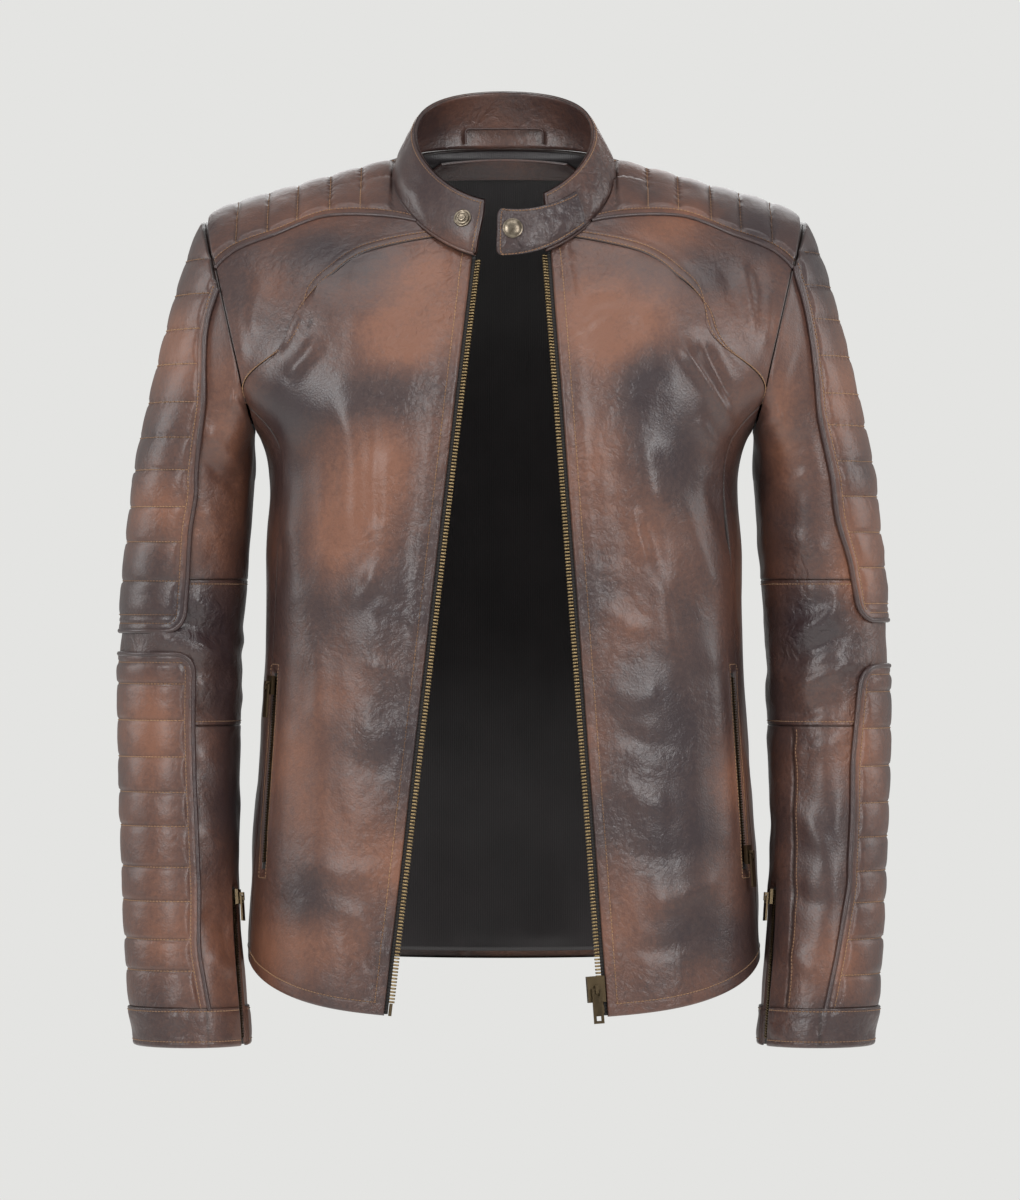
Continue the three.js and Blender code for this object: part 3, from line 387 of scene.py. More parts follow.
def skin(name, g, high, material, body_name, slot, deep=leather, crumple=0.3, dark=None, shade=0.0,
         wrap=False, faces_in=False):
    """A sheet of leather or cloth over a grid: raised by high, with an edge turned in by deep all round. The
    turned-in rim, and the parts marked by dark, carry painted seam shade.
    """
    p, n = g["p"] + g["n"] * np.asarray(high)[..., None], g["n"]
    nv, nu = p.shape[:2]
    quads = lattice(nv, nu, wrap)
    order = np.arange(nv * nu).reshape(nv, nu)
    if wrap:
        rims = [order[0], order[-1][::-1]]
    else:
        rims = [np.concatenate([order[0], order[1:, -1], order[-1, -2::-1], order[-2:0:-1, 0]])]
    points, facts = [p.reshape(-1, 3)], {}
    values = {"rub": np.clip(rub(p) + shade, 0, 1), "crumple": np.broadcast_to(crumple, p.shape[:2]),
              "seam": np.broadcast_to(0.0 if dark is None else dark, p.shape[:2])}
    flat = {key: [value.reshape(-1)] for key, value in values.items()}
    total = nv * nu
    # Painted shade: the rim that turns down into the seam is painted fully dark.
    for rim in rims:
        points.append(p.reshape(-1, 3)[rim] - n.reshape(-1, 3)[rim] * deep)
        for key in flat:
            flat[key].append(flat[key][0][rim] if key != "seam" else np.ones(len(rim)))
        inner = total + np.arange(len(rim))
        quads = np.concatenate([quads, np.stack([rim, inner, np.roll(inner, -1), np.roll(rim, -1)], -1)])
        total += len(rim)
    if bool(g.get("flip")) != faces_in:
        quads = quads[:, ::-1]
    return mesh_piece(name, np.concatenate(points), quads, {k: np.concatenate(v) for k, v in flat.items()},
                      material, body_name)


def linear(code):
    """An sRGB hex colour as linear values."""
    c = [int(code[k:k + 2], 16) / 255 for k in (1, 3, 5)]
    return (*[x / 12.92 if x <= 0.04045 else ((x + 0.055) / 1.055) ** 2.4 for x in c], 1)


def node(tree, kind, inputs=(), stops=(), **settings):
    """Adds a node with its settings, its ramp's stops, and its inputs' values or links."""
    made = tree.nodes.new(kind)
    for key, value in settings.items():
        setattr(made, key, value)
    for k, (place, code) in enumerate(stops):
        one = made.color_ramp.elements[k] if k < 2 else made.color_ramp.elements.new(place)
        one.position, one.color = place, linear(code)
    for key, value in dict(inputs).items():
        if isinstance(value, bpy.types.NodeSocket):
            tree.links.new(value, made.inputs[key])
        else:
            made.inputs[key].default_value = value
    return made


def new_material(name):
    made = bpy.data.materials.new(name)
    made.use_nodes = True
    made.node_tree.nodes.clear()
    return made, made.node_tree


# Waxed sheep leather: dark wax rubbed back by hand to the tan dye, so its colour changes softly over a hand's
# width. The rubbed parts are a little drier, so rougher. Its fine grain and creases catch the light.
waxed_leather, t = new_material("waxed_sheep_leather")
place = node(t, "ShaderNodeTexCoord").outputs["Object"]
rub_share = node(t, "ShaderNodeAttribute", attribute_name="rub").outputs["Fac"]
crumple_share = node(t, "ShaderNodeAttribute", attribute_name="crumple").outputs["Fac"]
seam_share = node(t, "ShaderNodeAttribute", attribute_name="seam").outputs["Fac"]
cloud = node(t, "ShaderNodeTexNoise",
             {"Vector": place, "Scale": 26, "Detail": 5, "Roughness": 0.62}).outputs["Fac"]
# The dye's mottle is about 1 mm across on the real skin, and is drawn at 3.3 mm so that it shows.
mottle = node(t, "ShaderNodeTexNoise",
              {"Vector": place, "Scale": 300, "Detail": 4, "Roughness": 0.75}).outputs["Fac"]
patchy = node(t, "ShaderNodeMath", {0: cloud, 1: 0.55, 2: rub_share}, operation="MULTIPLY_ADD").outputs[0]
patchy = node(t, "ShaderNodeMath", {0: mottle, 1: 0.7, 2: patchy}, operation="MULTIPLY_ADD").outputs[0]
patchy = node(t, "ShaderNodeMath", {0: patchy, 1: 0.625}, operation="SUBTRACT", use_clamp=True).outputs[0]
wax = node(t, "ShaderNodeValToRGB", {0: patchy},
           stops=[(0.0, "#34282a"), (1.0, "#7d523e"), (0.32, "#453330"), (0.64, "#5f4035")]).outputs[0]
# Painted shade: the seam mask mixes the wax colour towards near black in the seams, quilting channels and slots,
# where shade would fall.
wax_and_seam_shade = node(t, "ShaderNodeMix", {0: seam_share, 6: wax, 7: linear("#1c1311")}, data_type="RGBA").outputs[2]
# Pores are about 0.5 mm apart on the real skin, and are drawn at 1.6 mm.
cells = node(t, "ShaderNodeTexVoronoi", {"Vector": place, "Scale": 620}, feature="F1").outputs["Distance"]
warp = node(t, "ShaderNodeTexNoise", {"Vector": place, "Scale": 34, "Detail": 2}).outputs["Color"]
bent = node(t, "ShaderNodeMix", {0: 0.02, 4: place, 5: warp}, data_type="VECTOR").outputs[1]
lines = node(t, "ShaderNodeTexNoise",
             {"Vector": bent, "Scale": 78, "Detail": 4, "Roughness": 0.5}).outputs["Fac"]
lines = node(t, "ShaderNodeMath", {0: lines, 1: 0.5}, operation="SUBTRACT").outputs[0]
lines = node(t, "ShaderNodeMath", {0: lines}, operation="ABSOLUTE").outputs[0]
lines = node(t, "ShaderNodeMath", {0: lines, 1: 7.0}, operation="MULTIPLY", use_clamp=True).outputs[0]
patches = node(t, "ShaderNodeTexNoise", {"Vector": place, "Scale": 17, "Detail": 1}).outputs["Fac"]
patches = node(t, "ShaderNodeMapRange", {0: patches, 1: 0.42, 2: 0.66}).outputs[0]
patches = node(t, "ShaderNodeMath", {0: crumple_share, 1: 0.55, 2: patches}, operation="MULTIPLY_ADD",
               use_clamp=True).outputs[0]
crease_depth = node(t, "ShaderNodeMath", {0: crumple_share, 1: patches}, operation="MULTIPLY").outputs[0]
crease_depth = node(t, "ShaderNodeMath", {0: crease_depth, 1: lines}, operation="MULTIPLY").outputs[0]
grain = node(t, "ShaderNodeBump", {"Strength": 0.3, "Distance": 0.0004, "Height": cells})
crease = node(t, "ShaderNodeBump",
              {"Strength": 0.7, "Distance": 0.0016, "Height": crease_depth, "Normal": grain.outputs[0]})
gloss = node(t, "ShaderNodeMapRange", {0: patchy, 3: 0.34, 4: 0.46}).outputs[0]
gloss = node(t, "ShaderNodeMath", {0: mottle, 1: 0.16, 2: gloss}, operation="MULTIPLY_ADD").outputs[0]
gloss = node(t, "ShaderNodeMath", {0: gloss, 1: 0.07}, operation="SUBTRACT").outputs[0]
skin_shader = node(t, "ShaderNodeBsdfPrincipled",
                   {"Base Color": wax_and_seam_shade, "Roughness": gloss, "IOR": 1.52, "Coat Weight": 0.25,
                    "Coat Roughness": 0.3, "Normal": crease.outputs[0]})
node(t, "ShaderNodeOutputMaterial", {"Surface": skin_shader.outputs[0]})

front_folds = {  # each: the line it follows, its half width and its height
    "left": [
        ([(128, -138), (134, -152), (146, -168), (158, -186), (168, -204)], 5, 4.2),
        ([(142, -138), (150, -152), (160, -172), (168, -190)], 5, -3.2),
        ([(99, -214), (106, -240), (113, -270)], 11, 3.0), ([(92, -258), (97, -280), (105, -308)], 5, 2.2),
        ([(104, -262), (112, -292), (120, -330)], 7, -2.0),
             ([(122, -240), (134, -272), (150, -310), (166, -340)], 9, 2.2),
        ([(150, -236), (160, -270), (172, -300)], 7, -2.2), ([(118, -300), (116, -340), (124, -380)], 8, 1.8),
        ([(66, -330), (90, -350), (112, -352)], 7, 1.4), ([(70, -395), (96, -404), (118, -396)], 8, 1.6),
        ([(76, -424), (104, -436), (130, -440)], 6, -1.6), ([(74, -460), (100, -478), (128, -486)], 8, 2.0),
        ([(84, -505), (112, -520), (150, -512)], 8, -1.6), ([(96, -555), (130, -548), (168, -530)], 8, 2.2),
        ([(84, -590), (120, -585), (160, -566)], 7, -1.4), ([(150, -350), (156, -400), (158, -450)], 8, 1.6),
        ([(60, -110), (74, -104), (88, -106)], 5, 1.4), ([(56, -134), (70, -122), (80, -112)], 4, 1.2),
        ([(66, -200), (70, -250), (76, -300)], 6, 0.9), ([(140, -196), (150, -212), (164, -222)], 6, 2.0),
    ],
    "right": [
        ([(-150, -116), (-158, -132), (-166, -152)], 3.2, 2.6),
              ([(-156, -112), (-166, -130), (-171, -150)], 3, -2.4),
        ([(-134, -138), (-146, -154), (-160, -170)], 6, 2.6),
              ([(-118, -176), (-112, -220), (-112, -262), (-116, -300)], 11, 3.4),
        ([(-96, -198), (-97, -240), (-96, -288)], 6, -2.0),
              ([(-146, -190), (-144, -240), (-140, -290), (-146, -330)], 10, -2.0),
        ([(-164, -214), (-160, -260), (-160, -300)], 6, 1.8),
              ([(-90, -300), (-100, -322), (-118, -336)], 6, 1.6),
        ([(-104, -312), (-86, -322), (-68, -330)], 4, 1.6),
              ([(-100, -340), (-82, -346), (-64, -358)], 4, -1.4),
        ([(-104, -378), (-84, -380), (-66, -392)], 5, 1.8),
              ([(-108, -396), (-86, -408), (-70, -406)], 4, -1.6),
        ([(-110, -420), (-90, -430), (-72, -428)], 6, 2.0),
              ([(-112, -446), (-94, -456), (-78, -450)], 6, -1.6),
        ([(-104, -482), (-84, -490), (-70, -488)], 4, 1.2),
              ([(-150, -520), (-120, -532), (-90, -528), (-76, -540)], 7, 1.8),
        ([(-122, -556), (-104, -562), (-90, -580), (-82, -600)], 5, 2.2),
              ([(-118, -570), (-106, -584), (-100, -604)], 5, -1.8),
        ([(-138, -350), (-134, -390), (-138, -430)], 9, 1.8),
              ([(-80, -200), (-84, -250), (-88, -300)], 5, 1.0),
    ],
}
pocket_line = {"top": np.array([169.0, -386]), "foot": np.array([178.0, -528])}


def beside_pocket(p):
    """Distance across and along the pocket's slot, measured in x and z."""
    a, b = pocket_line["top"], pocket_line["foot"]
    q, d = np.stack([np.abs(p[..., 0]), p[..., 2]], -1) - a, (b - a) / np.linalg.norm(b - a)
    far = (q @ np.array([-d[1], d[0]])) * 1.75  # the panel faces well to the side here, so x narrows it
    along = q @ d
    return far, np.maximum(0, np.maximum(-along, along - np.linalg.norm(b - a))), along


front_grids, front_shapes = {}, {}
for side in ("left", "right"):
    edge_neck, edge_hem = float(turn_in(side, np.array(9.0), 0)), float(turn_in(side, np.array(0.0), 0))
    corner_share = 0.09
    g = grid(
        worn(side),
        straight([edge_hem, 0], [80, 0]),
        chain((corner_share, straight([edge_neck, neck], [38, neck])), (1.0, chest_seam)),
        lambda w, side=side: np.stack([turn_in(side, 9 * np.asarray(w), 0), 9 * np.asarray(w)], -1),
        side_front,
        step=2.5, close=(0, 0.5, 1.1, 1.8, 2.8, 4, 5.5, 6.6, 7.4, 8.2, 9.4, 11, 13),
             fine_u=((150, 215, 1.3),),
    )
    if side == "right":
        g = mirrored(g)
    p, zip_far, hem_far = g["p"], g["left"], g["low"]
    high = turned(zip_far, 1.2, 1.4) + turned(g["right"]) + turned(hem_far, 1.5, 2.2) + turned(g["top"])
    for line, wide, tall in front_folds[side]:
        high = high + fold(p, line, wide, tall)
    inside = smooth((zip_far
                     - 10) / 20) * smooth(g["right"] / 14) * smooth(g["top"] / 12) * smooth(hem_far / 16)
    high = high + inside * (0.9 * ripple(p, (26, 60, 110), 2) + 0.55 * ripple(p, (13, 30, 48), 4) + 0.5
                            * ripple(p, (34, 30, 15), 6))
    high = high + 0.35 * ripple(p, (8, 10, 9), 9) * inside * smooth((120 - zip_far) / 80)
    high = high + stitched(zip_far, 7.4, 0.5, 0.9) + stitched(hem_far, 9, 0.4) + stitched(g["top"], 2.2, 0.2)
    high = high + puckers(p, zip_far, 10.5, 5, 0.75, (5, 5, 5.2)) + puckers(p, zip_far, 3.8, 2.6, 0.28,
        (4, 4, 5.6), 11)
    high = high + 0.9 * np.exp(-(((zip_far - 13.5) / 3.2) ** 2)) * smooth((p[..., 2] + 420) / 160)
    high = high + puckers(p, hem_far, 11, 6, 0.35, (9, 9, 9), 14)
    far, past, along = beside_pocket(p)
    near = np.hypot(far, past)
    high = high * smooth((near - 4) / 14)
    high = high - 2.6 * (1 - smooth((near - 2.6) / 1.7)) + 0.7 * np.exp(-(((near - 5.6) / 1.6) ** 2))
    beside_cuff = smooth((np.abs(p[..., 0]) - 148) / 15) * smooth((-500 - p[..., 2]) / 20)
    high = mix(high, np.minimum(high, 0.0), beside_cuff)  # the cuff zip's pull swings here
    crumple = 0.22 + 0.5 * np.exp(-(((zip_far - 9) / 8) ** 2)) + 0.25 * smooth((80 - zip_far) / 60)
    # Painted shade: the leather is darkened along its side and top seams and round the pocket slot, where shade
    # would fall.
    seam = np.maximum.reduce([1 - smooth(d / 2.2) for d in (g["right"], g["top"])]
                             + [0.6 * (1 - smooth(near / 4))])
    panel = skin(f"front_panel_{side}", g, high, waxed_leather, "jacket_body", "brown_leather",
                 crumple=crumple, dark=seam)
    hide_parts(f"front_panel_{side}")
    front_grids[side], front_shapes[side] = g, high

# ---- The yokes over the chest ----
# A yoke of the same leather runs from collar to armhole, lapped over the front panel and held by two rows of
# stitches along the chest seam. It stands a little proud there, where three layers lie on each other.
yoke_folds = {
    "left": [([(174, -80), (179, -98), (182, -120), (184, -140)], 3.4, 2.6),
             ([(184, -82), (190, -104), (190, -128)], 5, -2.0),
             ([(160, -84), (166, -100), (172, -122)], 5, -1.2),
             ([(192, -100), (194, -124), (190, -150)], 4, 1.8)],
    "right": [([(-176, -92), (-184, -116), (-186, -140)], 5, 1.6),
              ([(-196, -110), (-194, -134), (-190, -160)], 4, 1.2)],
}
threads = {}  # rows of stitches, kept by the body they are on


def line_at(g, high, far, at):
    """The line that runs a set distance in from one edge of a raised grid, with its normals."""
    p, n, d = g["p"] + g["n"] * high[..., None], g["n"], g[far]
    if far in ("low", "top"):
        p, n, d = p.transpose(1, 0, 2), n.transpose(1, 0, 2), d.T
    if far in ("right", "top"):
        p, n, d = p[:, ::-1], n[:, ::-1], d[:, ::-1]
    rows = [[np.interp(at, far_row, both[:, k]) for k in range(6)] for far_row,
            both in zip(d, np.concatenate([p, n], -1))]
    return np.array(rows)


def stepped(line, pitch):
    """A line's points and normals at an even pitch."""
    along = np.concatenate([[0], np.cumsum(np.linalg.norm(np.diff(line[:, :3], axis=0), axis=1))])
    count = max(2, int(along[-1] / pitch))
    at = np.linspace(0, along[-1], count + 1)
    return np.stack([np.interp(at, along, line[:, k]) for k in range(6)], -1)


def sew(where, line, pitch=2.7, size=0.42, skip=(0, 0)):
    """Adds a row of stitches along a line. skip leaves out that many millimetres at each end."""
    line = stepped(np.asarray(line), pitch / 2)
    line = line[int(skip[0] / pitch * 2): len(line) - int(skip[1] / pitch * 2)]
    threads.setdefault(where, []).append((line[:-2:2], line[1:-1:2], line[2::2], size))


def tube(line, radius, sides=8, rise=0.0, flatten=1.0):
    """A round cord of leather along a line of points and normals: its points and faces."""
    p, n = line[:, :3], line[:, 3:] / np.linalg.norm(line[:, 3:], axis=1, keepdims=True)
    t = np.gradient(p, axis=0)
    t /= np.linalg.norm(t, axis=1, keepdims=True) + 1e-9
    b = np.cross(t, n)
    n = np.cross(b, t)
    a = np.linspace(0, 2 * np.pi, sides, endpoint=False)
    radius = np.broadcast_to(radius, len(p))[:, None, None]
    ring = np.cos(a)[None, :, None] * b[:, None] + np.sin(a)[None, :, None] * n[:, None] * flatten
    points = p[:, None] + n[:, None] * rise + ring * radius
    return points, lattice(len(p), sides, True)


for side in ("left", "right"):
    g = grid(worn(side), chest_seam, pad_seam, straight([38, neck], [52, neck]),
             arm_arc(front_seam_top, pad_seam_end, "front"),
             step=2.4, close=(0, 0.5, 1.1, 1.8, 2.8, 4, 6, 7.4, 8.6))
    if side == "right":
        g = mirrored(g)
    p = g["p"]
    high = turned(g["low"], 1.0, 1.6) + turned(g["top"]) + turned(g["left"]) + turned(g["right"]) + 0.5 * (1
        - smooth((g["low"] - 8) / 3))
    for line, wide, tall in yoke_folds[side]:
        high = high + fold(p, line, wide, tall)
    inside = smooth((g["low"]
                     - 9) / 10) * smooth(g["top"] / 10) * smooth(g["right"] / 10) * smooth(g["left"] / 10)
    high = high + inside * (0.6 * ripple(p, (22, 40, 46), 12) + 0.4 * ripple(p, (12, 20, 24), 13))
    high = high + stitched(g["low"], 1.6, 0.3, 0.7) + stitched(g["low"], 7.4, 0.5, 0.9)
    high = high + puckers(p, g["low"], 10, 3, 0.3, (5, 5, 5), 15) + puckers(p, g["low"], 4.5, 2, 0.2,
        (5, 5, 5), 16)
    # Painted shade: the yoke is darkened along its seams, where shade would fall.
    seam = np.maximum.reduce([1 - smooth(g[d] / 2.2) for d in ("top", "right", "left")]
                             + [0.8 * (1 - smooth(g["low"] / 1.5))])
    yoke = skin(f"front_yoke_{side}", g, high, waxed_leather, "jacket_body", "brown_leather", crumple=0.3,
                dark=seam)
    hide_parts(f"front_yoke_{side}")
    sew("jacket_body", line_at(g, high, "low", 1.6))
    sew("jacket_body", line_at(g, high, "low", 7.4))
    front, shape = front_grids[side], front_shapes[side]
    sew("jacket_body", line_at(front, shape, "left", 7.4), skip=(10, 2))
    sew("jacket_body", line_at(front, shape, "low", 9), skip=(8, 2))

# ---- The side panels ----
# A narrow panel of the same leather runs from the armpit to the hem under each arm. It is sewn between the
# front and the back, with its seams turned in.
for side in ("left", "right"):
    def under_arm(w):
        low = arm_arc(arm_bottom, front_seam_top, "front")
        high = arm_arc(arm_bottom, back_seam_top, "back")
        w = np.asarray(w)
        return np.where((w < 0.5)[..., None], low(1 - np.clip(2 * w, 0, 1)), high(np.clip(2 * w - 1, 0, 1)))
    g = grid(body, straight([80, 0], [114, 0]), under_arm, side_front, side_back, step=3.2)
    if side == "right":
        g = mirrored(g)
    p = g["p"]
    edge = np.minimum.reduce([g[d] for d in ("left", "right", "top", "low")])
    high = turned(edge) + smooth(edge / 12) * (0.9 * ripple(p, (40, 26, 40), 21) + 0.5
                                               * ripple(p, (20, 14, 20), 22))
    high = high + stitched(g["low"], 9, 0.4)
    # Painted shade: the panel is darkened along its seams all round.
    panel = skin(f"side_panel_{side}", g, high, waxed_leather, "jacket_body", "dark_leather", crumple=0.35,
                 dark=1 - smooth(edge / 2.2))
    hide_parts(f"side_panel_{side}")
    sew("jacket_body", line_at(g, high, "low", 9))

# ---- The back ----
# One large panel of the same leather, with a yoke across the shoulder blades. The yoke is lapped over the
# panel and stitched down twice along its seam.
yoke_turn = float(arm_turn(yoke_end, "back"))


def yoke_seam(w):
    w = np.asarray(w, float)
    return np.stack([mix(yoke_turn, 360 - yoke_turn, w), yoke_end + 0.1 * np.sin(np.pi * w)], -1)


def back_of(curve):
    """The same curve on the wearer's right."""
    return lambda w: curve(w) * [-1, 1] + [360, 0]


side_to_yoke = chain((0.72, side_back), (1.0, arm_arc(back_seam_top, yoke_end, "back")))
g = grid(body, straight([114, 0], [246, 0]), yoke_seam, side_to_yoke, back_of(side_to_yoke), step=3.2)
p = g["p"]
edge = np.minimum.reduce([g[d] for d in ("left", "right", "top", "low")])
high = turned(edge) + smooth(edge / 18) * (1.6 * ripple(p, (60, 60, 130), 31) + 0.9
                                           * ripple(p, (30, 40, 44), 32) + 0.4 * ripple(p, (14, 14, 20), 33))
for line, wide, tall in (
    ([(150, -240), (110, -290), (60, -320)], 10, 2.4), ([(-150, -250), (-104, -300), (-50, -326)], 10, 2.4),
    ([(160, -330), (110, -372), (60, -390)], 9, 2.0), ([(-160, -326), (-116, -366), (-60, -396)], 9, 2.0),
    ([(70, -420), (20, -436), (-60, -428)], 9, -1.8), ([(130, -460), (60, -480), (-20, -476)], 8, 1.6),
    ([(-130, -470), (-70, -500), (-10, -506)], 8, 1.6), ([(120, -540), (40, -552), (-60, -546)], 8, 1.2),
):
    high = high + fold(p, line, wide, tall)
high = high + stitched(g["low"], 9, 0.4)
# Painted shade: the back panel is darkened along its seams all round.
back = skin("back_panel", g, high, waxed_leather, "jacket_body", "brown_leather", crumple=0.25,
            dark=1 - smooth(edge / 2.2))
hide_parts("back_panel")
sew("jacket_body", line_at(g, high, "low", 9))

back_pad_seam = spline([125, neck], [122, mix(neck, shoulder, 0.45)], [119, mix(neck, shoulder, 0.9)],
                       [float(arm_turn(back_pad_end, "back")), back_pad_end])
yoke_top = chain((0.42, lambda w: back_pad_seam(1 - w)), (0.58, straight([125, neck], [235, neck])),
                 (1.0, back_of(back_pad_seam)))
yoke_side = arm_arc(yoke_end, back_pad_end, "back")
g = grid(body, yoke_seam, yoke_top, yoke_side, back_of(yoke_side), step=3.0,
         close=(0, 0.5, 1.1, 1.8, 2.8, 4, 6, 7.4, 8.6))
p = g["p"]
edge = np.minimum.reduce([g[d] for d in ("left", "right", "top", "low")])
high = turned(edge) + smooth((edge - 4) / 18) * (1.0 * ripple(p, (60, 60, 40), 34) + 0.5
                                                 * ripple(p, (24, 24, 20), 35))
high = high + 0.5 * (1 - smooth((g["low"] - 8) / 3)) + stitched(g["low"], 1.6, 0.3, 0.7) + stitched(g["low"],
    7.4, 0.5, 0.9)
# Painted shade: the back yoke is darkened along its seams all round.
back_yoke = skin("back_yoke", g, high, waxed_leather, "jacket_body", "brown_leather", crumple=0.25,
                 dark=1 - smooth(edge / 2.0))
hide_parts("back_yoke")
sew("jacket_body", line_at(g, high, "low", 1.6))
sew("jacket_body", line_at(g, high, "low", 7.4))

# ---- The quilted shoulder pads ----
# Each pad is leather over foam, sewn through in channels that run front to back. Its front and back edges are
# stitched down twice, beside a piped seam. The foam lifts the leather between the channels.
channel_x = (83.5, 106.6, 129.4, 153.6, 175.5, 198.5, 221)


def plump(at, lines, high, dip=1.0):
    """How far foam lifts leather between lines of stitches."""
    lines = np.array(lines)
    k = np.clip(np.searchsorted(lines, at) - 1, 0, len(lines) - 2)
    w = np.clip((at - lines[k]) / (lines[k + 1] - lines[k]), 0, 1)
    return high * np.clip(4 * w * (1 - w), 0,
                          1) ** 0.42 - dip * np.exp(-((np.minimum(w, 1 - w)
                                                       * (lines[k + 1] - lines[k]) / 0.8) ** 2))


def sewn_channels(where, g, high, axis, lines, inset=(8, 8)):
    """Rows of stitches across a pad, on the planes where that coordinate has each value."""
    p = g["p"] + g["n"] * high[..., None]
    both, at = np.concatenate([p, g["n"]], -1), np.abs(g["p"][..., axis])
    for value in lines:
        row = []
        for j in range(both.shape[0]):
            line, here = both[j], at[j]
            if here.min() < value < here.max():
                order = np.argsort(here)
                row.append([np.interp(value, here[order], line[order, k]) for k in range(6)])
        if len(row) > 3:
            sew(where, np.array(row), skip=inset)


welts = []  # piped seams: the name of each, the line it follows, its radius and its rise
for side in ("left", "right"):
    over_top = chain((0.5, arm_arc(pad_seam_end, shoulder, "front")),
                     (1.0, lambda w: arm_arc(back_pad_end, shoulder, "back")(1 - w)))
    # A row runs from the front seam to the back one, and a column from the armhole to the neck.
    g = grid(worn(side), over_top, straight([52, neck], [125, neck]), lambda w: pad_seam(1 - w),
             lambda w: back_pad_seam(1 - w),
             step=2.0, close=(0, 0.6, 1.3, 2.2, 3.4, 5, 6.4, 7.4, 8.4, 10))
    if side == "right":
        g = mirrored(g)
    p = g["p"]
    x = np.abs(p[..., 0])
    edge = np.minimum(g["left"], g["right"])
    body_part = smooth((edge - 7.4) / 4)
    high = mix(0.9, 0.6 + plump(x, channel_x, 2.6, 1.2), body_part) + turned(np.minimum(edge, g["low"]), 1.8,
        2.4) + turned(g["top"], 1.0)
    high = high + stitched(edge, 7.4, 0.6, 0.9) + puckers(p, edge, 5, 2, 0.25, (5, 5, 5), 41)
    high = high + body_part * (0.25 * ripple(p, (9, 12, 9), 42) + 0.3 * ripple(p, (20, 26, 20), 43))
    near = np.min(np.abs(x[..., None] - np.array(channel_x)), -1)
    # Painted shade: the pad is darkened at its edges and in the quilting channels.
    seam = np.maximum(1 - smooth(np.minimum(edge, g["low"]) / 2), 0.55 * (1 - smooth(near / 1.6)) * body_part)
    pad = skin(f"shoulder_pad_{side}", g, high, waxed_leather, "jacket_body", "dark_leather", crumple=0.25,
               dark=seam)
    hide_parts(f"shoulder_pad_{side}")
    sew("jacket_body", line_at(g, high, "left", 7.4))
    sew("jacket_body", line_at(g, high, "right", 7.4))
    turned_g = {**g, "p": g["p"].transpose(1, 0, 2), "n": g["n"].transpose(1, 0, 2)}
    sewn_channels("jacket_body", turned_g, high.T, 0, channel_x[1:-1])
    for far in ("left", "right"):
        welts.append((f"shoulder_{'front' if far == 'left' else 'back'}_{side}",
                      line_at(g, high * 0, far, 0.2), 1.5, 0.2))

# ---- The piped seams of the shoulder ----
# A bias strip of the leather is folded round a cord and sewn into the seam, so that it stands up as a thin
# roll, dark with wax.
def welt(name, line, radius, rise, body_name):
    line = stepped(line, 1.6)
    along = np.arange(len(line)) * 1.6
    size = radius * (1 + 0.07 * ripple(np.stack([along, along * 0, along * 0], -1), 7, 51))
    points, faces = tube(line, size, rise=rise)
    count = points.shape[0] * points.shape[1]
    shade = np.full(count, 0.16) + 0.3 * rub(points.reshape(-1, 3)) ** 2
    return mesh_piece(name, points.reshape(-1, 3), faces,
                      {"rub": shade, "crumple": np.full(count, 0.15), "seam": np.zeros(count)},
                      waxed_leather, body_name)


for name, line, radius, rise in welts:
    welt(f"piping_{name}", line, radius, rise, "jacket_body")

# ---- The front zip ----
# A 5 mm metal zip: antique brass teeth clamped on the cord of a black woven tape, which is sewn under the
# leather's edge. Each tooth is a small stamped block with a nib on the side that meets the other row.
zip_tape, t = new_material("woven_polyester_tape")
place = node(t, "ShaderNodeTexCoord").outputs["Object"]
# The tape's herringbone is 0.4 mm wide on the real one, and is drawn at 2.2 mm.
weave = node(t, "ShaderNodeTexWave", {"Vector": place, "Scale": 140, "Distortion": 1.5, "Detail": 2},
             bands_direction="Z").outputs["Fac"]
black = node(t, "ShaderNodeValToRGB", {0: weave}, stops=[(0.0, "#0d0b0a"), (1.0, "#262220")]).outputs[0]
raised = node(t, "ShaderNodeBump", {"Strength": 0.5, "Distance": 0.0003, "Height": weave})
cloth = node(t, "ShaderNodeBsdfPrincipled",
             {"Base Color": black, "Roughness": 0.85, "Sheen Weight": 0.15, "Normal": raised.outputs[0]})
node(t, "ShaderNodeOutputMaterial", {"Surface": cloth.outputs[0]})


def plated(t, metal, speck, rough_from, rough_to):
    """Finishes a plated metal: its roughness runs from one value to the other with its specks."""
    worn_off = node(t, "ShaderNodeMapRange", {0: speck, 3: rough_from, 4: rough_to}).outputs[0]
    plate = node(t, "ShaderNodeBsdfPrincipled", {"Base Color": metal, "Metallic": 1.0, "Roughness": worn_off})
    node(t, "ShaderNodeOutputMaterial", {"Surface": plate.outputs[0]})


# Antique brass: plated, blackened and rubbed bright again on its corners.
antique_brass, t = new_material("antique_brass")
place = node(t, "ShaderNodeTexCoord").outputs["Object"]
speck = node(t, "ShaderNodeTexNoise", {"Vector": place, "Scale": 520, "Detail": 4}).outputs["Fac"]
corner = node(t, "ShaderNodeNewGeometry").outputs["Pointiness"]
bright = node(t, "ShaderNodeMapRange", {0: corner, 1: 0.47, 2: 0.58, 3: 0.0, 4: 0.55}).outputs[0]
bright = node(t, "ShaderNodeMath", {0: speck, 1: 0.6, 2: bright}, operation="MULTIPLY_ADD",
              use_clamp=True).outputs[0]
metal = node(t, "ShaderNodeValToRGB", {0: bright},
             stops=[(0.2, "#2a2119"), (0.97, "#9a8663"), (0.6, "#5a4a34")]).outputs[0]
plated(t, metal, speck, 0.28, 0.5)

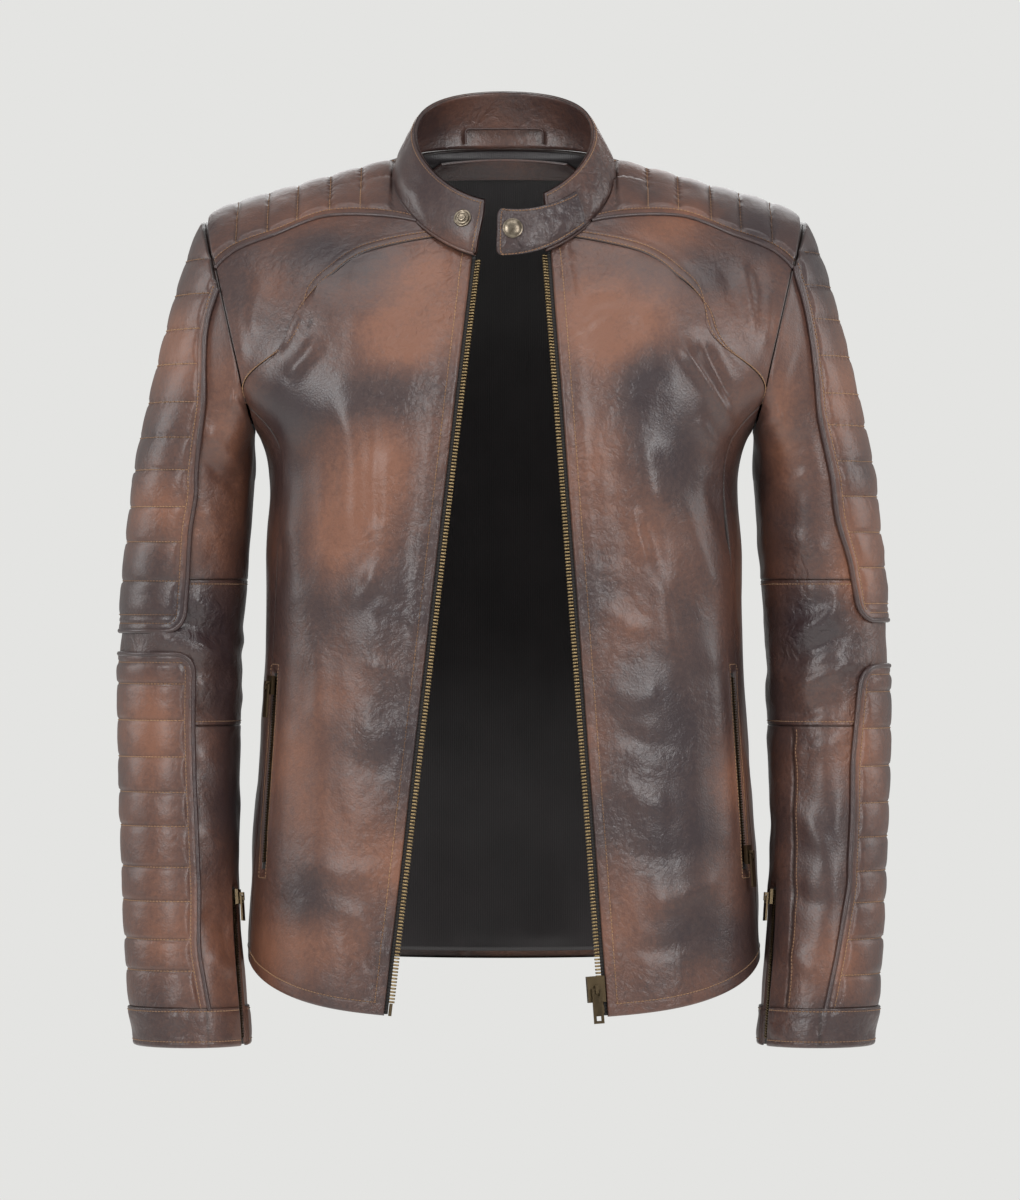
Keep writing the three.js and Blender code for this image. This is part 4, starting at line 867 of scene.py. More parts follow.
# Gunmetal: the same die-cast zinc parts plated near black, a little smoother.
gunmetal, t = new_material("gunmetal_plate")
place = node(t, "ShaderNodeTexCoord").outputs["Object"]
speck = node(t, "ShaderNodeTexNoise", {"Vector": place, "Scale": 420, "Detail": 3}).outputs["Fac"]
corner = node(t, "ShaderNodeNewGeometry").outputs["Pointiness"]
bright = node(t, "ShaderNodeMapRange", {0: corner, 1: 0.48, 2: 0.6, 3: 0.0, 4: 0.6}).outputs[0]
metal = node(t, "ShaderNodeValToRGB", {0: bright}, stops=[(0.0, "#2e2822"), (1.0, "#7f6e54")]).outputs[0]
plated(t, metal, speck, 0.25, 0.42)


def blocks(name, centres, x, y, z, profile, long, material, body_name, slot, flip=False):
    """Copies of one extruded outline: profile is in x, y at each centre, and runs over long in z."""
    outline = np.array(profile, float)
    count, size = len(centres), len(outline)
    inner = outline * 0.86 + outline.mean(0) * 0.14
    layers = [(inner, -0.5), (outline, -0.38), (outline, 0.38), (inner, 0.5)]
    rings = [centres[:, None] + o[None, :, :1] * x[:, None] + o[None, :, 1:] * y[:, None] + at * long
             * z[:, None] for o, at in layers]
    points = np.stack(rings, 1).reshape(-1, 3)
    one = [[k * size + i, k * size + (i + 1) % size, (k + 1) * size + (i + 1) % size, (k + 1) * size + i]
           for k in range(3) for i in range(size)]
    one += [list(range(size))[::-1], [3 * size + i for i in range(size)]]
    faces = [np.array(f)[::-1] + k * 4 * size if flip else np.array(f) + k * 4 * size for k in range(count)
             for f in one]
    return mesh_piece(name, points, faces, {}, material, body_name)


def zip_line(side, inside, low, high, count=200):
    """Points and normals along the zip's edge, that far in from where the leather stops."""
    z = np.linspace(low, high, count)
    x = edge_x(side, z) + inside
    p = np.stack([x, edge_y(z) + lean * inside, z], -1)
    t = np.gradient(p, axis=0)
    n = np.cross(t, np.array([1.0, lean, 0]))
    n *= np.sign(-n[:, 1:2])
    n /= np.linalg.norm(n, axis=1, keepdims=True)
    flip = 1 if side == "left" else -1
    return np.concatenate([p * [flip, 1, 1], n * [flip, 1, 1]], 1)


tape_depth = -leather - 0.8 - 0.4
for side in ("left", "right"):
    sign = 1 if side == "left" else -1
    hem_z = float(front_grids[side]["p"][0, 0, 2])
    neck_z = float(front_grids[side]["p"][-1, 0, 2])
    ins = np.array([-2.6, -1.8, -1.0, 0, 2, 6, 11])
    rows = [zip_line(side, i, hem_z + 1, neck_z - 1, 160) for i in ins]
    p = np.stack([r[:, :3] + r[:, 3:] * tape_depth for r in rows], 1)
    n = np.stack([r[:, 3:] for r in rows], 1)
    bead = 0.55 * np.exp(-(((ins + 2.2) / 0.7) ** 2))
    g = {**measured(p, n), "flip": side == "right"}
    tape = skin(f"front_zip_tape_{side}", g, np.broadcast_to(bead, p.shape[:2]), zip_tape, "jacket_body",
                "zip_tape", deep=0.8)
    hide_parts(f"front_zip_tape_{side}")
    line = stepped(zip_line(side, -4.5, hem_z + 9.8, neck_z - 4), 2.45)
    t_ = np.gradient(line[:, :3], axis=0)
    t_ /= np.linalg.norm(t_, axis=1, keepdims=True)
    out = line[:, 3:] / np.linalg.norm(line[:, 3:], axis=1, keepdims=True)
    across = np.cross(out, t_)
    centres = line[:, :3] + out * tape_depth
    # In x the tooth reaches from its nib, away from the tape, to the legs that clamp the tape's cord.
    tooth = np.array([(-2.1, -0.55), (-2.1, 0.55), (-1.35, 0.95), (-0.6, 0.8), (0.2, 1.45), (1.6, 1.3),
                      (2.1, 0.7), (2.1, -0.7),
                      (1.6, -1.3), (0.2, -1.45), (-0.6, -0.8), (-1.35, -0.95)])[::-1]
    teeth = blocks(f"front_zip_teeth_{side}", centres, across * sign if side == "left" else -across, out, t_,
                   tooth, 1.42, antique_brass, "jacket_body", "brass", flip=side == "right")
    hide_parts(f"front_zip_teeth_{side}")

for name in ("front_slider", "front_pull", "zip_retainer_box", "zip_insertion_pin", "pocket_slider_left",
             "pocket_slider_right",
             "pocket_pull_left", "pocket_pull_right", "cuff_slider_left", "cuff_slider_right",
             "cuff_pull_left", "cuff_pull_right"):
    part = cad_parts[name]
    part.data.materials.clear()
    part.data.materials.append(gunmetal)
    soften = part.modifiers.new("rounded", "BEVEL")
    soften.width, soften.segments, soften.limit_method, soften.harden_normals = 0.0005, 2, "ANGLE", True

# ---- The pocket zips ----
# Each hand pocket is a zip let into a slot in the panel. The leather's lips are turned in, and a row of
# stitches goes round them. The wearer's right one is closed, and the left one is open with its slider down.
def let_in_zip(name, top, down, out, long, gap, body_name, flip):
    """A tape with two rows of teeth, laid in a slot from its top end, and a gap between the rows."""
    wide = np.cross(out, down)
    mirror = np.array([-1 if flip else 1, 1, 1])
    at, across = np.linspace(-1, long + 1, 90), np.array([-4.6, -3, -1.6, 0, 1.6, 3, 4.6])
    p = (top + at[:, None, None] * down + across[None, :, None] * wide - 1.9 * out) * mirror
    g = {**measured(p, np.broadcast_to(out * mirror, p.shape)), "flip": not flip}
    tape = skin(f"{name}_tape", g, np.zeros(p.shape[:2]), zip_tape, body_name, "zip_tape", deep=0.4)
    at = 2 + np.arange(int((long - 4) / 1.9)) * 1.9
    coil = np.array([(-1.4, -0.8), (-1.4, 0.5), (-0.6, 0.9), (0.6, 0.9), (1.4, 0.5), (1.4, -0.8)])[::-1]
    rows = []
    for k in (0, 1):
        centres = (top + (at[:, None] + 0.95 * k) * down + wide * gap * (2 * k - 1) - 1.0 * out) * mirror
        axes = [np.broadcast_to(v * mirror, centres.shape) for v in (wide, out, down)]
        rows.append(blocks(f"{name}_teeth_{k + 1}", centres, *axes, coil, 1.1, antique_brass, body_name,
                           "brass", flip=not flip))
    return tape, rows


def nearest(g, high, spots):
    """Where spots land on a raised grid, with its normals."""
    points, normals, found = (g["p"] + g["n"] * high[..., None]).reshape(-1, 3), g["n"].reshape(-1, 3), []
    for spot in spots:
        far = np.linalg.norm(points - spot, axis=1)
        k = np.argsort(far)[:4]
        w = 1 / (far[k] + 0.3)
        q, n = (points[k] * w[:, None]).sum(0) / w.sum(), (normals[k] * w[:, None]).sum(0) / w.sum()
        found.append([*(spot + n * ((q - spot) @ n)), *n])
    return np.array(found)


for side in ("left", "right"):
    mirror = np.array([1 if side == "left" else -1, 1, 1])
    top, foot = (worn(side)(*spot_at(*pocket_line[end])) for end in ("top", "foot"))
    long = np.linalg.norm(foot - top)
    down = (foot - top) / long
    out = np.cross(worn(side)(*spot_at(171, -457)) - worn(side)(*spot_at(165, -457)), down)
    out *= np.sign(out[0]) / np.linalg.norm(out)
    tape, rows = let_in_zip(f"pocket_{side}", top, down, out, long, 1.7 if side == "left" else 1.1,
                            "jacket_body", side == "right")
    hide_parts(f"pocket_zip_{side}")
    wide = np.cross(out, down)
    reach = 7.6  # the frame of stitches goes down one side of the slot, across its foot and up the other
    corners = [(reach, -reach), (reach, long + reach), (-reach, long + reach), (-reach, -reach),
               (reach, -reach)]
    spots = [(top + down * mix(a[1], b[1], w) + wide * mix(a[0], b[0], w)) * mirror
             for a, b in zip(corners[:-1], corners[1:])
             for w in np.linspace(0, 1, 60 if abs(a[0] - b[0]) < 1 else 8)[:-1]]
    sew("jacket_body", nearest(front_grids[side], front_shapes[side], spots), pitch=2.5, size=0.36)

# ---- The pocket bags, the facings and the linings ----
# Behind each zip lies a flat bag of lining cloth. A strip of the leather faces each front edge, and a dark
# satin, woven from fine polyester yarn, lines the rest. It is cut loose, so it lies in soft folds.
satin_lining, t = new_material("woven_polyester_satin")
place = node(t, "ShaderNodeTexCoord").outputs["Object"]
# Its yarns are 0.1 mm apart on the real cloth, and are drawn at 1.7 mm.
yarn = node(t, "ShaderNodeTexWave", {"Vector": place, "Scale": 190, "Distortion": 0.6, "Detail": 1},
            bands_direction="X").outputs["Fac"]
cloud = node(t, "ShaderNodeTexNoise", {"Vector": place, "Scale": 22, "Detail": 3}).outputs["Fac"]
shade = node(t, "ShaderNodeMath", {0: yarn, 1: 0.35, 2: cloud}, operation="MULTIPLY_ADD",
             use_clamp=True).outputs[0]
black = node(t, "ShaderNodeValToRGB", {0: shade}, stops=[(0.2, "#120f10"), (1.0, "#2b2527")]).outputs[0]
raised = node(t, "ShaderNodeBump", {"Strength": 0.3, "Distance": 0.0002, "Height": yarn})
cloth = node(t, "ShaderNodeBsdfPrincipled",
             {"Base Color": black, "Roughness": 0.42, "Sheen Weight": 0.2, "Anisotropic": 0.4,
              "Normal": raised.outputs[0]})
node(t, "ShaderNodeOutputMaterial", {"Surface": cloth.outputs[0]})

lining_rings = np.concatenate([np.linspace(0.12, arm_bottom, 70),
                               arm_bottom + (7 - arm_bottom) * (1 - np.cos(np.linspace(0.04, np.pi, 50))) / 2,
                               np.linspace(7.04, 8.95, 30)])


def side_at(ring, half):
    armhole = arm_turn(np.clip(ring, arm_bottom + 1e-3, shoulder), half)
    return np.where(ring <= arm_bottom, mix(98, 90, ring / arm_bottom),
                    np.where(ring >= shoulder, 90, armhole))


def lined(name, side, turns, depth, body_node):
    turn = np.stack(turns, 1)
    ring = np.broadcast_to(lining_rings[:, None], turn.shape)
    surface = body if side == "back" else worn(side)
    g = laid(surface, turn, ring)
    if side == "right":
        g = mirrored(g)
    p = g["p"]
    edge = np.minimum.reduce([g[d] for d in ("left", "right", "top", "low")])
    high = -depth - smooth(edge / 12) * (0.6 + 0.9 * ripple(p, (30, 40, 90), 61) + 0.5
                                         * ripple(p, (14, 18, 40), 62))
    if side == "back":  # it climbs to the shell at the neck seam, where the collar covers its edge
        high = high + 5.6 * smooth((ring - 8.82) / 0.12)
    piece = skin(name, g, high, satin_lining, "jacket_body", "satin_lining", deep=-0.6, faces_in=True)
    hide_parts(body_node)


across = np.linspace(0, 1, 50)
lining_depth, facing_wide = 8.4, 44
for side in ("left", "right"):
    start, end = turn_in(side, lining_rings, facing_wide + 0.7), side_at(lining_rings, "front")
    lined(f"lining_front_{side}", side, [mix(start, end, w) for w in across], lining_depth,
          f"lining_front_{side}")
    rings = np.linspace(0.02, 8.98, 150)
    g = laid(worn(side), np.stack([turn_in(side, rings, far) for far in np.linspace(0.6, facing_wide, 18)],
                                  1), np.repeat(rings[:, None], 18, 1))
    corners = [spot_at(x, z) for x, z in ((128, -558), (183, -558), (174, -396), (128, -396))]
    bag = grid(worn(side), straight(corners[0], corners[1]), straight(corners[3], corners[2]),
               straight(corners[0], corners[3]), straight(corners[1], corners[2]), step=5)
    if side == "right":
        g, bag = mirrored(g), mirrored(bag)
    facing = skin(f"facing_{side}", g, -7.5 + 0 * g["low"] - 0.2 * ripple(g["p"], 12, 63), waxed_leather,
                  "jacket_body", "brown_leather",
                  deep=-3.6, shade=-0.1, faces_in=True)
    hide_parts(f"facing_{side}")
    bag_high = -4.4 - 0.3 * ripple(bag["p"], 20, 64)
    pocket_bag = skin(f"pocket_bag_{side}", bag, bag_high, satin_lining, "jacket_body", "satin_lining",
                      deep=-0.5, faces_in=True)
    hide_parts(f"pocket_bag_{side}")
ends = side_at(lining_rings, "back")
lined("lining_back", "back", [mix(ends, 360 - ends, w) for w in np.linspace(0, 1, 110)], lining_depth,
      "lining_back")

# A leather patch inside the back of the neck, with a low ridge along its stitch line and no thread, and the loop
# the jacket hangs from.
g = grid(body, straight([150, 8.25], [210, 8.25]), straight([146, 8.84], [214, 8.84]),
         straight([150, 8.25], [146, 8.84]),
         straight([210, 8.25], [214, 8.84]), step=1.8)
edge = np.minimum.reduce([g[d] for d in ("left", "right", "top", "low")])
high = -11.4 - turned(edge, 0.9, 1.2) + 0.3 * np.exp(-(((edge - 2.6) / 0.8) ** 2)) + 0.15 * ripple(g["p"], 9,
    65)
patch = skin("neck_patch", g, high, waxed_leather, "jacket_body", "dark_leather", deep=-1.0, shade=-0.15,
             faces_in=True)
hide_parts("neck_patch")
loop_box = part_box("hanger_loop")
low, high_corner = (np.array(c) * 1000 for c in loop_box)
half_wide, loop_y = (high_corner[0] - low[0]) / 2 - 0.9, (high_corner[1] + low[1]) / 2
arch = [(-half_wide, 0)] * 1 + [(-half_wide, h) for h in np.linspace(2, 8, 5)]
arch += [(-half_wide + 3.2 * (1 - np.cos(a)), 8 + 3.1 * np.sin(a)) for a in np.linspace(0.2, np.pi / 2, 6)]
arch = np.array(arch + [(x, 11.1) for x in np.linspace(-half_wide + 5, 0, 8)])
arch = np.concatenate([arch, arch[-2::-1] * [-1, 1]])
points_at = np.stack([arch[:, 0], np.full(len(arch), loop_y), low[2] + arch[:, 1]], -1)
along = np.gradient(points_at, axis=0)
normals = np.cross(np.array([0, 1.0, 0]), along)
normals /= np.linalg.norm(normals, axis=1, keepdims=True)
points, faces = tube(np.concatenate([points_at, normals], 1), 2.4, sides=10, flatten=0.36)
count = points.shape[0] * points.shape[1]
loop = mesh_piece("hanger_loop", points.reshape(-1, 3), faces,
                  {"rub": np.full(count, 0.3), "crumple": np.full(count, 0.3), "seam": np.zeros(count)},
                  waxed_leather, "jacket_body")
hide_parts("hanger_loop")

# ---- The stand collar ----
# Two layers of leather with a stiff interlining between them, seamed and turned along the rim, which is
# stitched 3 mm in. The wearer's left end carries a tab that reaches over the opening.
collar_rings = np.array([  # half width, depth ahead, depth behind, height ahead, beside, behind
    [82, 78, 58, -80, -16, 10], [79, 79, 59, -66.1, -5, 23.9], [73, 76, 56, -52.3, 7, 37.7],
                         [66, 70, 50, -38, 18, 52],
])


def collar(turn, up):
    """The collar's middle layer, from the neck seam at 0 to the rim at 1."""
    turn, up = np.broadcast_arrays(np.asarray(turn, float), np.asarray(up, float))
    half, front, back, z_front, z_side, z_back = np.moveaxis(through(collar_rings, up * 3), -1, 0)
    ahead = np.cos(np.radians(turn))
    middle = (z_front + z_back) / 2
    z = middle + (z_front - z_back) / 2 * ahead + (z_side - middle) * (1 - ahead**2)
    return np.stack([half * np.sin(np.radians(turn)), -ahead * np.where(ahead > 0, front, back), z], -1)


def collar_end(which, low=0.03):
    def curve(w):
        v = mix(low, 1, np.asarray(w, float))
        turn = 22 + 4 * v if which == "left" else 345.5 + 3.5 * v - 4 * np.maximum(0, v - 0.75)
        return np.stack([turn, v], -1)
    return curve


def rounded(far, deep, wide):
    return turned(np.maximum(far, 0), deep, wide)


g = grid(collar, straight([22.2, 0.03], [345.7, 0.03]), straight([26, 1], [348, 1]), collar_end("left"),
         collar_end("right"),
         step=1.9, close=(0, 0.4, 0.9, 1.5, 2.3, 3.2, 4.2))
p = g["p"]
snap_turn, stud_turn = 4.6, 336.5
stud_at = collar(stud_turn, 0.56)
near_stud = smooth((np.linalg.norm(p - stud_at, axis=-1) - 8) / 8)
edge = np.minimum(np.minimum(g["left"], g["right"]), g["top"])
creased = smooth((p[..., 0] - 18) / 26) * smooth((40 - p[..., 1]) / 50)
inside = smooth((edge - 3) / 7) * smooth((g["low"] - 1) / 5) * near_stud
high = 1.75 + inside * (0.45 * ripple(p, (15, 26, 24), 71) + 0.3 * ripple(p, (7, 10, 14), 72) + creased
                        * (1.1 * ripple(p, (5.5, 14, 30), 73)))
for line, wide, tall in (([(60, -24), (64, -40), (58, -54)], 3.4, 1.7),
                         ([(72, -14), (75, -30), (71, -44)], 3, 1.5),
                         ([(50, -34), (56, -48), (50, -60)], 2.6, 1.3),
                         ([(-66, -20), (-62, -40), (-52, -56)], 5, 1.1),
                         ([(-76, -4), (-74, -22), (-68, -38)], 4, 0.9)):
    high = high + fold(p, line, wide, tall) * smooth((10 - p[..., 1]) / 20) * inside
high = high + rounded(edge, 1.75, 2.6) + rounded(g["low"], 2.0, 2.4) + stitched(edge, 3.4, 0.5, 0.8)
high = high + puckers(p, edge, 5.6, 2.4, 0.22, 4.4, 74) * near_stud
# Painted shade: the collar is darkened at its foot, in the neck seam.
outer = skin("collar_outer", g, high, waxed_leather, "jacket_body", "dark_leather",
             crumple=0.3 + 0.5 * creased,
             dark=0.8 * (1 - smooth(g["low"] / 2)), shade=-0.06)
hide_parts("collar_outer")
sew("jacket_body", line_at(g, high, "top", 3.4), skip=(4, 4))
sew("jacket_body", line_at(g, high, "right", 3.4), skip=(4, 4))
g = grid(collar, straight([22, -0.24], [344.8, -0.24]), straight([26, 1], [348, 1]),
         collar_end("left", -0.24), collar_end("right", -0.24),
         step=2.2, close=(0, 0.4, 0.9, 1.5, 2.3, 3.2, 4.2))
edge = np.minimum(np.minimum(g["left"], g["right"]), g["top"])
inner_high = -1.75 - rounded(edge, 1.75, 2.6) - 0.25 * ripple(g["p"], 14, 75) * smooth((edge - 3) / 7)
inner = skin("collar_inner", g, inner_high, waxed_leather, "jacket_body", "dark_leather", deep=-leather,
             shade=-0.1, faces_in=True)
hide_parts("collar_inner")

# The tab is two more layers, crumpled where it is bent open and shut.
def tab_end(w):
    v = np.asarray(w, float)
    corner = np.maximum(0, np.abs(2 * v - 1) - 0.74) / 0.26
    return np.stack([-4 + 3.4 * (1 - np.sqrt(np.clip(1 - corner**2, 0, 1))), mix(0.08, 0.84, v)], -1)


g = grid(collar, straight([-0.6, 0.08], [46, 0.08]), straight([-0.6, 0.84], [46, 0.7]), tab_end,
         straight([46, 0.08], [46, 0.7]),
         step=1.2, close=(0, 0.4, 0.9, 1.5, 2.3, 3.2, 4.2))
p = g["p"]
edge = np.minimum.reduce([g[d] for d in ("left", "top", "low", "right")])
near_cap = smooth((np.linalg.norm(p - collar(snap_turn, 0.5), axis=-1) - 8.5) / 7)
high = 4.0 + near_cap * smooth((edge - 2.6) / 4) * (0.55 * ripple(p, (8, 8, 9), 81) + 0.4
                                                    * ripple(p, (4.2, 5, 14), 82) + 0.3 * ripple(p, 3.4, 83))
high = high + rounded(edge, 1.9, 2.2) + stitched(edge, 3.0, 0.5, 0.8)
tab = skin("collar_tab", g, high, waxed_leather, "collar_tab", "dark_leather", deep=1.2, crumple=0.9,
           shade=-0.32)
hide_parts("collar_tab")
for far in ("left", "top", "low"):
    sew("collar_tab", line_at(g, high, far, 3.0), skip=(3, 3), pitch=2.5)
skin("collar_tab_back", g, 2.1 + 0 * high, waxed_leather, "collar_tab", "dark_leather", deep=-0.6, shade=-0.3,
     faces_in=True)

# The snap: a spun brass cap and a ring stud, silvered by wear. The socket and the post are behind them.
aged_nickel, t = new_material("aged_nickel_on_brass")
place = node(t, "ShaderNodeTexCoord").outputs["Object"]
speck = node(t, "ShaderNodeTexNoise", {"Vector": place, "Scale": 300, "Detail": 5}).outputs["Fac"]
metal = node(t, "ShaderNodeValToRGB", {0: speck}, stops=[(0.3, "#5a5045"), (0.75, "#968c7c")]).outputs[0]
plated(t, metal, speck, 0.42, 0.24)


def turned_disc(name, profile, turn, up, out, body_name, node_name, sides=48):
    """A disc spun from a profile of radii and heights, standing on the collar."""
    here = collar(turn, up)
    across, rise = collar(turn + 1, up) - collar(turn - 1, up), collar(turn, up + 0.05) - collar(turn,
        up - 0.05)
    face = np.cross(across, rise)
    face /= np.linalg.norm(face)
    across /= np.linalg.norm(across)
    rise = np.cross(face, across)
    a = np.linspace(0, 2 * np.pi, sides, endpoint=False)
    rings = [here + face * (out + h) + r * (np.cos(a)[:, None] * across + np.sin(a)[:, None] * rise) for r,
             h in profile]
    points = np.concatenate(rings)
    faces = [q for q in lattice(len(profile), sides, True)[:, ::-1]] + [np.arange(sides)[::-1] * 1 + 0,
        np.arange(sides) + sides * (len(profile) - 1)]
    faces[-2], faces[-1] = np.arange(sides), (np.arange(sides) + sides * (len(profile) - 1))[::-1]
    made = mesh_piece(name, points, [np.array(f) for f in faces], {}, aged_nickel, body_name)
    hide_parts(node_name)
    return made


cap_profile = [(0.3, 2.6), (1.8, 2.55), (3.4, 2.38), (4.8, 2.0), (5.9, 1.5), (6.5, 1.15), (6.75, 0.95),
               (7.1, 1.0), (7.4, 0.8), (7.5, 0.45), (7.3, 0.1), (6.9, 0)]
stud_profile = [(0.3, 2.75), (1.5, 2.8), (2.4, 2.95), (2.9, 2.75), (3.0, 2.3), (2.6, 1.6), (2.7, 1.0),
                (3.3, 0.6), (4.4, 0.5), (5.0, 0.75),
                (5.6, 1.0), (6.2, 1.0), (6.6, 0.75), (6.7, 0.35), (6.6, 0)]
turned_disc("snap_cap", cap_profile, snap_turn, 0.5, 4.3, "collar_tab", "snap_cap")
turned_disc("snap_stud", stud_profile, stud_turn, 0.56, 1.95, "jacket_body", "snap_stud")
for name in ("snap_socket", "snap_post"):
    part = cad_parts[name]
    part.data.materials.clear()
    part.data.materials.append(aged_nickel)

# ---- The sleeves ----
# Each sleeve is set into the armhole and made in three parts: an upper arm, a short piece over the elbow and
# a forearm. The arm bends a little forward, so the leather breaks into folds inside the elbow and at the
# armpit.
arm_middle = np.array([202.5, 4, -131.5])
arm_levels = np.array([  # height, the middle across and deep, half width and half depth
    [-242, 231, 5, 44, 66], [-316, 237, 6, 45.5, 62], [-360, 240, 5, 45.5, 61], [-424, 241, 1, 44.5, 58],
    [-500, 240, -12, 42.7, 52.6], [-580, 237, -23, 42, 50], [-660, 231, -34, 42, 49],
])
# a sleeve's ring is 6 at the armhole, 5 under its head, then 1 per 100 mm
head_end, head_ring, arm_end_ring = -242, 5.0, 6.0
arm_seam = {"elbow_top": -316, "elbow_foot": -424, "cuff": -632, "end": -660}


def ring_of(z):
    return head_ring + (z - head_end) / 100


rings = arm_bottom + (shoulder - arm_bottom) * (1 - np.cos(np.linspace(0, np.pi, 200))) / 2
arm_points = np.concatenate([body(arm_turn(rings, half), rings) for half in ("front", "back")])
off = arm_points - arm_middle
arm_angles = np.degrees(np.arctan2(off[:, 1], -(off @ arm_down)))


def sleeve(angle, ring):
    """The sleeve's outer surface: angle 0 is its outer side, -90 the front and 180 the side by the body."""
    angle, ring = np.broadcast_arrays(np.asarray(angle, float), np.asarray(ring, float))
    a = np.radians(angle)
    def level(z):
        x, y, wide, deep = np.moveaxis(through(arm_levels[:, 1:],
                                               np.interp(-z, -arm_levels[:, 0], np.arange(7))), -1, 0)
        return np.stack([x + wide * np.cos(a), y + deep * np.sin(a), z], -1)
    z = np.minimum(head_end, head_end + (ring - head_ring) * 100)
    down_arm = level(z)
    w = np.clip(arm_end_ring - ring, 0, 1)[..., None]
    outer = ((1 + np.cos(a)) / 2)[..., None]
    start = np.stack([np.interp(angle, arm_angles, arm_points[:, k], period=360) for k in range(3)], -1)
    leave = np.concatenate([mix(10, 62, outer), 0 * outer, mix(-26, -112, outer)], -1)
    arrive = np.concatenate([mix(6, 20, outer), 0 * outer, mix(-26, -110, outer)], -1)
    head = start * (1 + 2 * w) * (1 - w) ** 2 + leave * w * (1
        - w) ** 2 + level(np.full(z.shape, float(head_end))) * w * w * (3 - 2 * w) + arrive * w * w * (w - 1)
    return np.where((ring > head_ring)[..., None], head, down_arm)


def on_sleeve(angle, ring):
    """A grid on the sleeve. Its normals point away from the arm."""
    p = sleeve(angle, ring)
    n = np.cross(sleeve(angle + 0.5, ring) - sleeve(angle - 0.5, ring),
                 sleeve(angle, np.minimum(6, ring + 0.02)) - sleeve(angle, ring - 0.02))
    n /= np.linalg.norm(n, axis=-1, keepdims=True)
    return measured(p, n)


def arm_spot(x, z):
    """The angle and ring at which the front view shows the sleeve at x, z."""
    best, reach, w = np.array([-60.0, 3.4]), np.array([64.0, 2.6]), np.linspace(-1, 1, 13)
    for _ in range(12):
        angle, ring = np.meshgrid(best[0] + w * reach[0], np.clip(best[1] + w * reach[1], 0.8, 6))
        p = sleeve(angle, ring)
        k = np.argmin(np.hypot(p[..., 0] - x, p[..., 2] - z))
        best, reach = np.array([angle.flat[k], ring.flat[k]]), reach * 0.45
    return best


cuff_zip_angle = -158
columns = np.concatenate([np.arange(-180, -166, 2.0), np.arange(-166, -150, 0.75), np.arange(-150, 180, 2.0)])
sleeve_folds = {
    "left": [([(184, -206), (202, -196), (221, -183)], 6, 3.2),
             ([(188, -226), (206, -222), (226, -210)], 7, -2.6),
             ([(190, -246), (210, -244), (230, -236)], 6, 2.4),
             ([(198, -170), (208, -150), (213, -122)], 5, 2.8),
             ([(206, -190), (214, -168), (219, -140)], 5, -2.2),
             ([(200, -276), (222, -290), (243, -300)], 8, 1.8),
             ([(200, -366), (228, -350), (258, -329)], 7, 3.8),
             ([(198, -382), (228, -368), (262, -352)], 6, -3.2),
             ([(200, -398), (230, -390), (266, -374)], 6, 3.4),
             ([(204, -420), (228, -412), (254, -404)], 6, -2.2),
             ([(206, -446), (226, -440), (250, -436)], 8, 2.0),
             ([(214, -480), (226, -500), (240, -520)], 8, 1.8),
             ([(206, -540), (222, -552), (244, -556)], 8, -1.8),
             ([(208, -586), (222, -600), (236, -604)], 7, 1.8),
             ([(220, -316), (236, -322), (250, -330)], 5, 1.6)],
    "right": [([(-216, -123), (-204, -158), (-180, -196)], 5.5, 3.6),
              ([(-217, -153), (-204, -178), (-182, -204)], 5, 2.8),
              ([(-214, -138), (-204, -166), (-184, -196)], 4, -2.6),
              ([(-222, -200), (-206, -222), (-188, -240)], 6, 2.4),
              ([(-224, -224), (-208, -240), (-190, -256)], 5, -2.0),
              ([(-226, -262), (-212, -276), (-194, -284)], 7, 1.8),
              ([(-266, -354), (-230, -366), (-196, -380)], 7, 3.8),
              ([(-262, -338), (-230, -350), (-198, -362)], 6, -3.0),
              ([(-236, -330), (-216, -338), (-200, -342)], 6, 2.6),
              ([(-232, -392), (-214, -398), (-198, -404)], 6, 2.6),
              ([(-230, -410), (-214, -416), (-200, -420)], 5, -2.0),
              ([(-228, -440), (-214, -456), (-202, -462)], 7, 2.0),
              ([(-226, -496), (-214, -512), (-200, -520)], 8, 1.8),
              ([(-224, -560), (-212, -566), (-198, -580)], 7, -1.8),
              ([(-218, -590), (-206, -600), (-194, -606)], 6, 2.0)],
}
elbow_back_folds = [([(200, -340), (240, -332), (276, -338)], 7, 2.2),
                    ([(198, -380), (240, -388), (278, -382)], 8, 2.0),
                    ([(206, -410), (240, -416), (270, -408)], 7, -1.6)]
pad_front = {  # the pads' front edges: x, z
    "left": {"upper": [(211, -86), (222, -115), (228, -155), (231, -194), (240, -234), (245.5, -273),
                       (255, -303), (260, -332), (262, -346)],
             "fore": [(236, -632), (237, -628), (244, -595), (249, -567), (254, -539.5), (254, -525),
                      (256, -493), (256.5, -451), (260, -415), (262, -396), (264, -380)]},
    "right": {"upper": [(210, -101), (219, -129), (219.8, -166), (220, -187), (225, -220), (227, -252),
                        (231.5, -278), (233.7, -317), (236, -347), (236, -354)],
              "fore": [(217, -632), (217.6, -631), (225, -589), (225, -546), (227, -503), (229, -460),
                       (230, -421), (229.5, -389), (229, -371)]},
}
pad_corner = 14
quilt_lines = {
    "left": {"upper": [-73.5, -98.5, -123.5, -150.7, -178.6, -202.1, -228.6, -254.3, -280.8, -307.2, -333.7],
             "fore": [-399, -426, -454, -481, -506, -531, -554, -581, -607]},
    "right": {"upper": [-79, -105, -131, -157, -185, -211, -235, -262, -288, -317, -342],
              "fore": [-393, -420, -447, -473, -498, -528, -553, -581, -604]},
}
sleeve_parts = (("upper", "elbow_top", None), ("elbow", "elbow_foot", "elbow_top"),
                ("forearm", "end", "elbow_foot"))
at_shoulder = (tuple(arm_middle / 1000), tuple((arm_middle + arm_out * 45) / 1000))
blends = {}
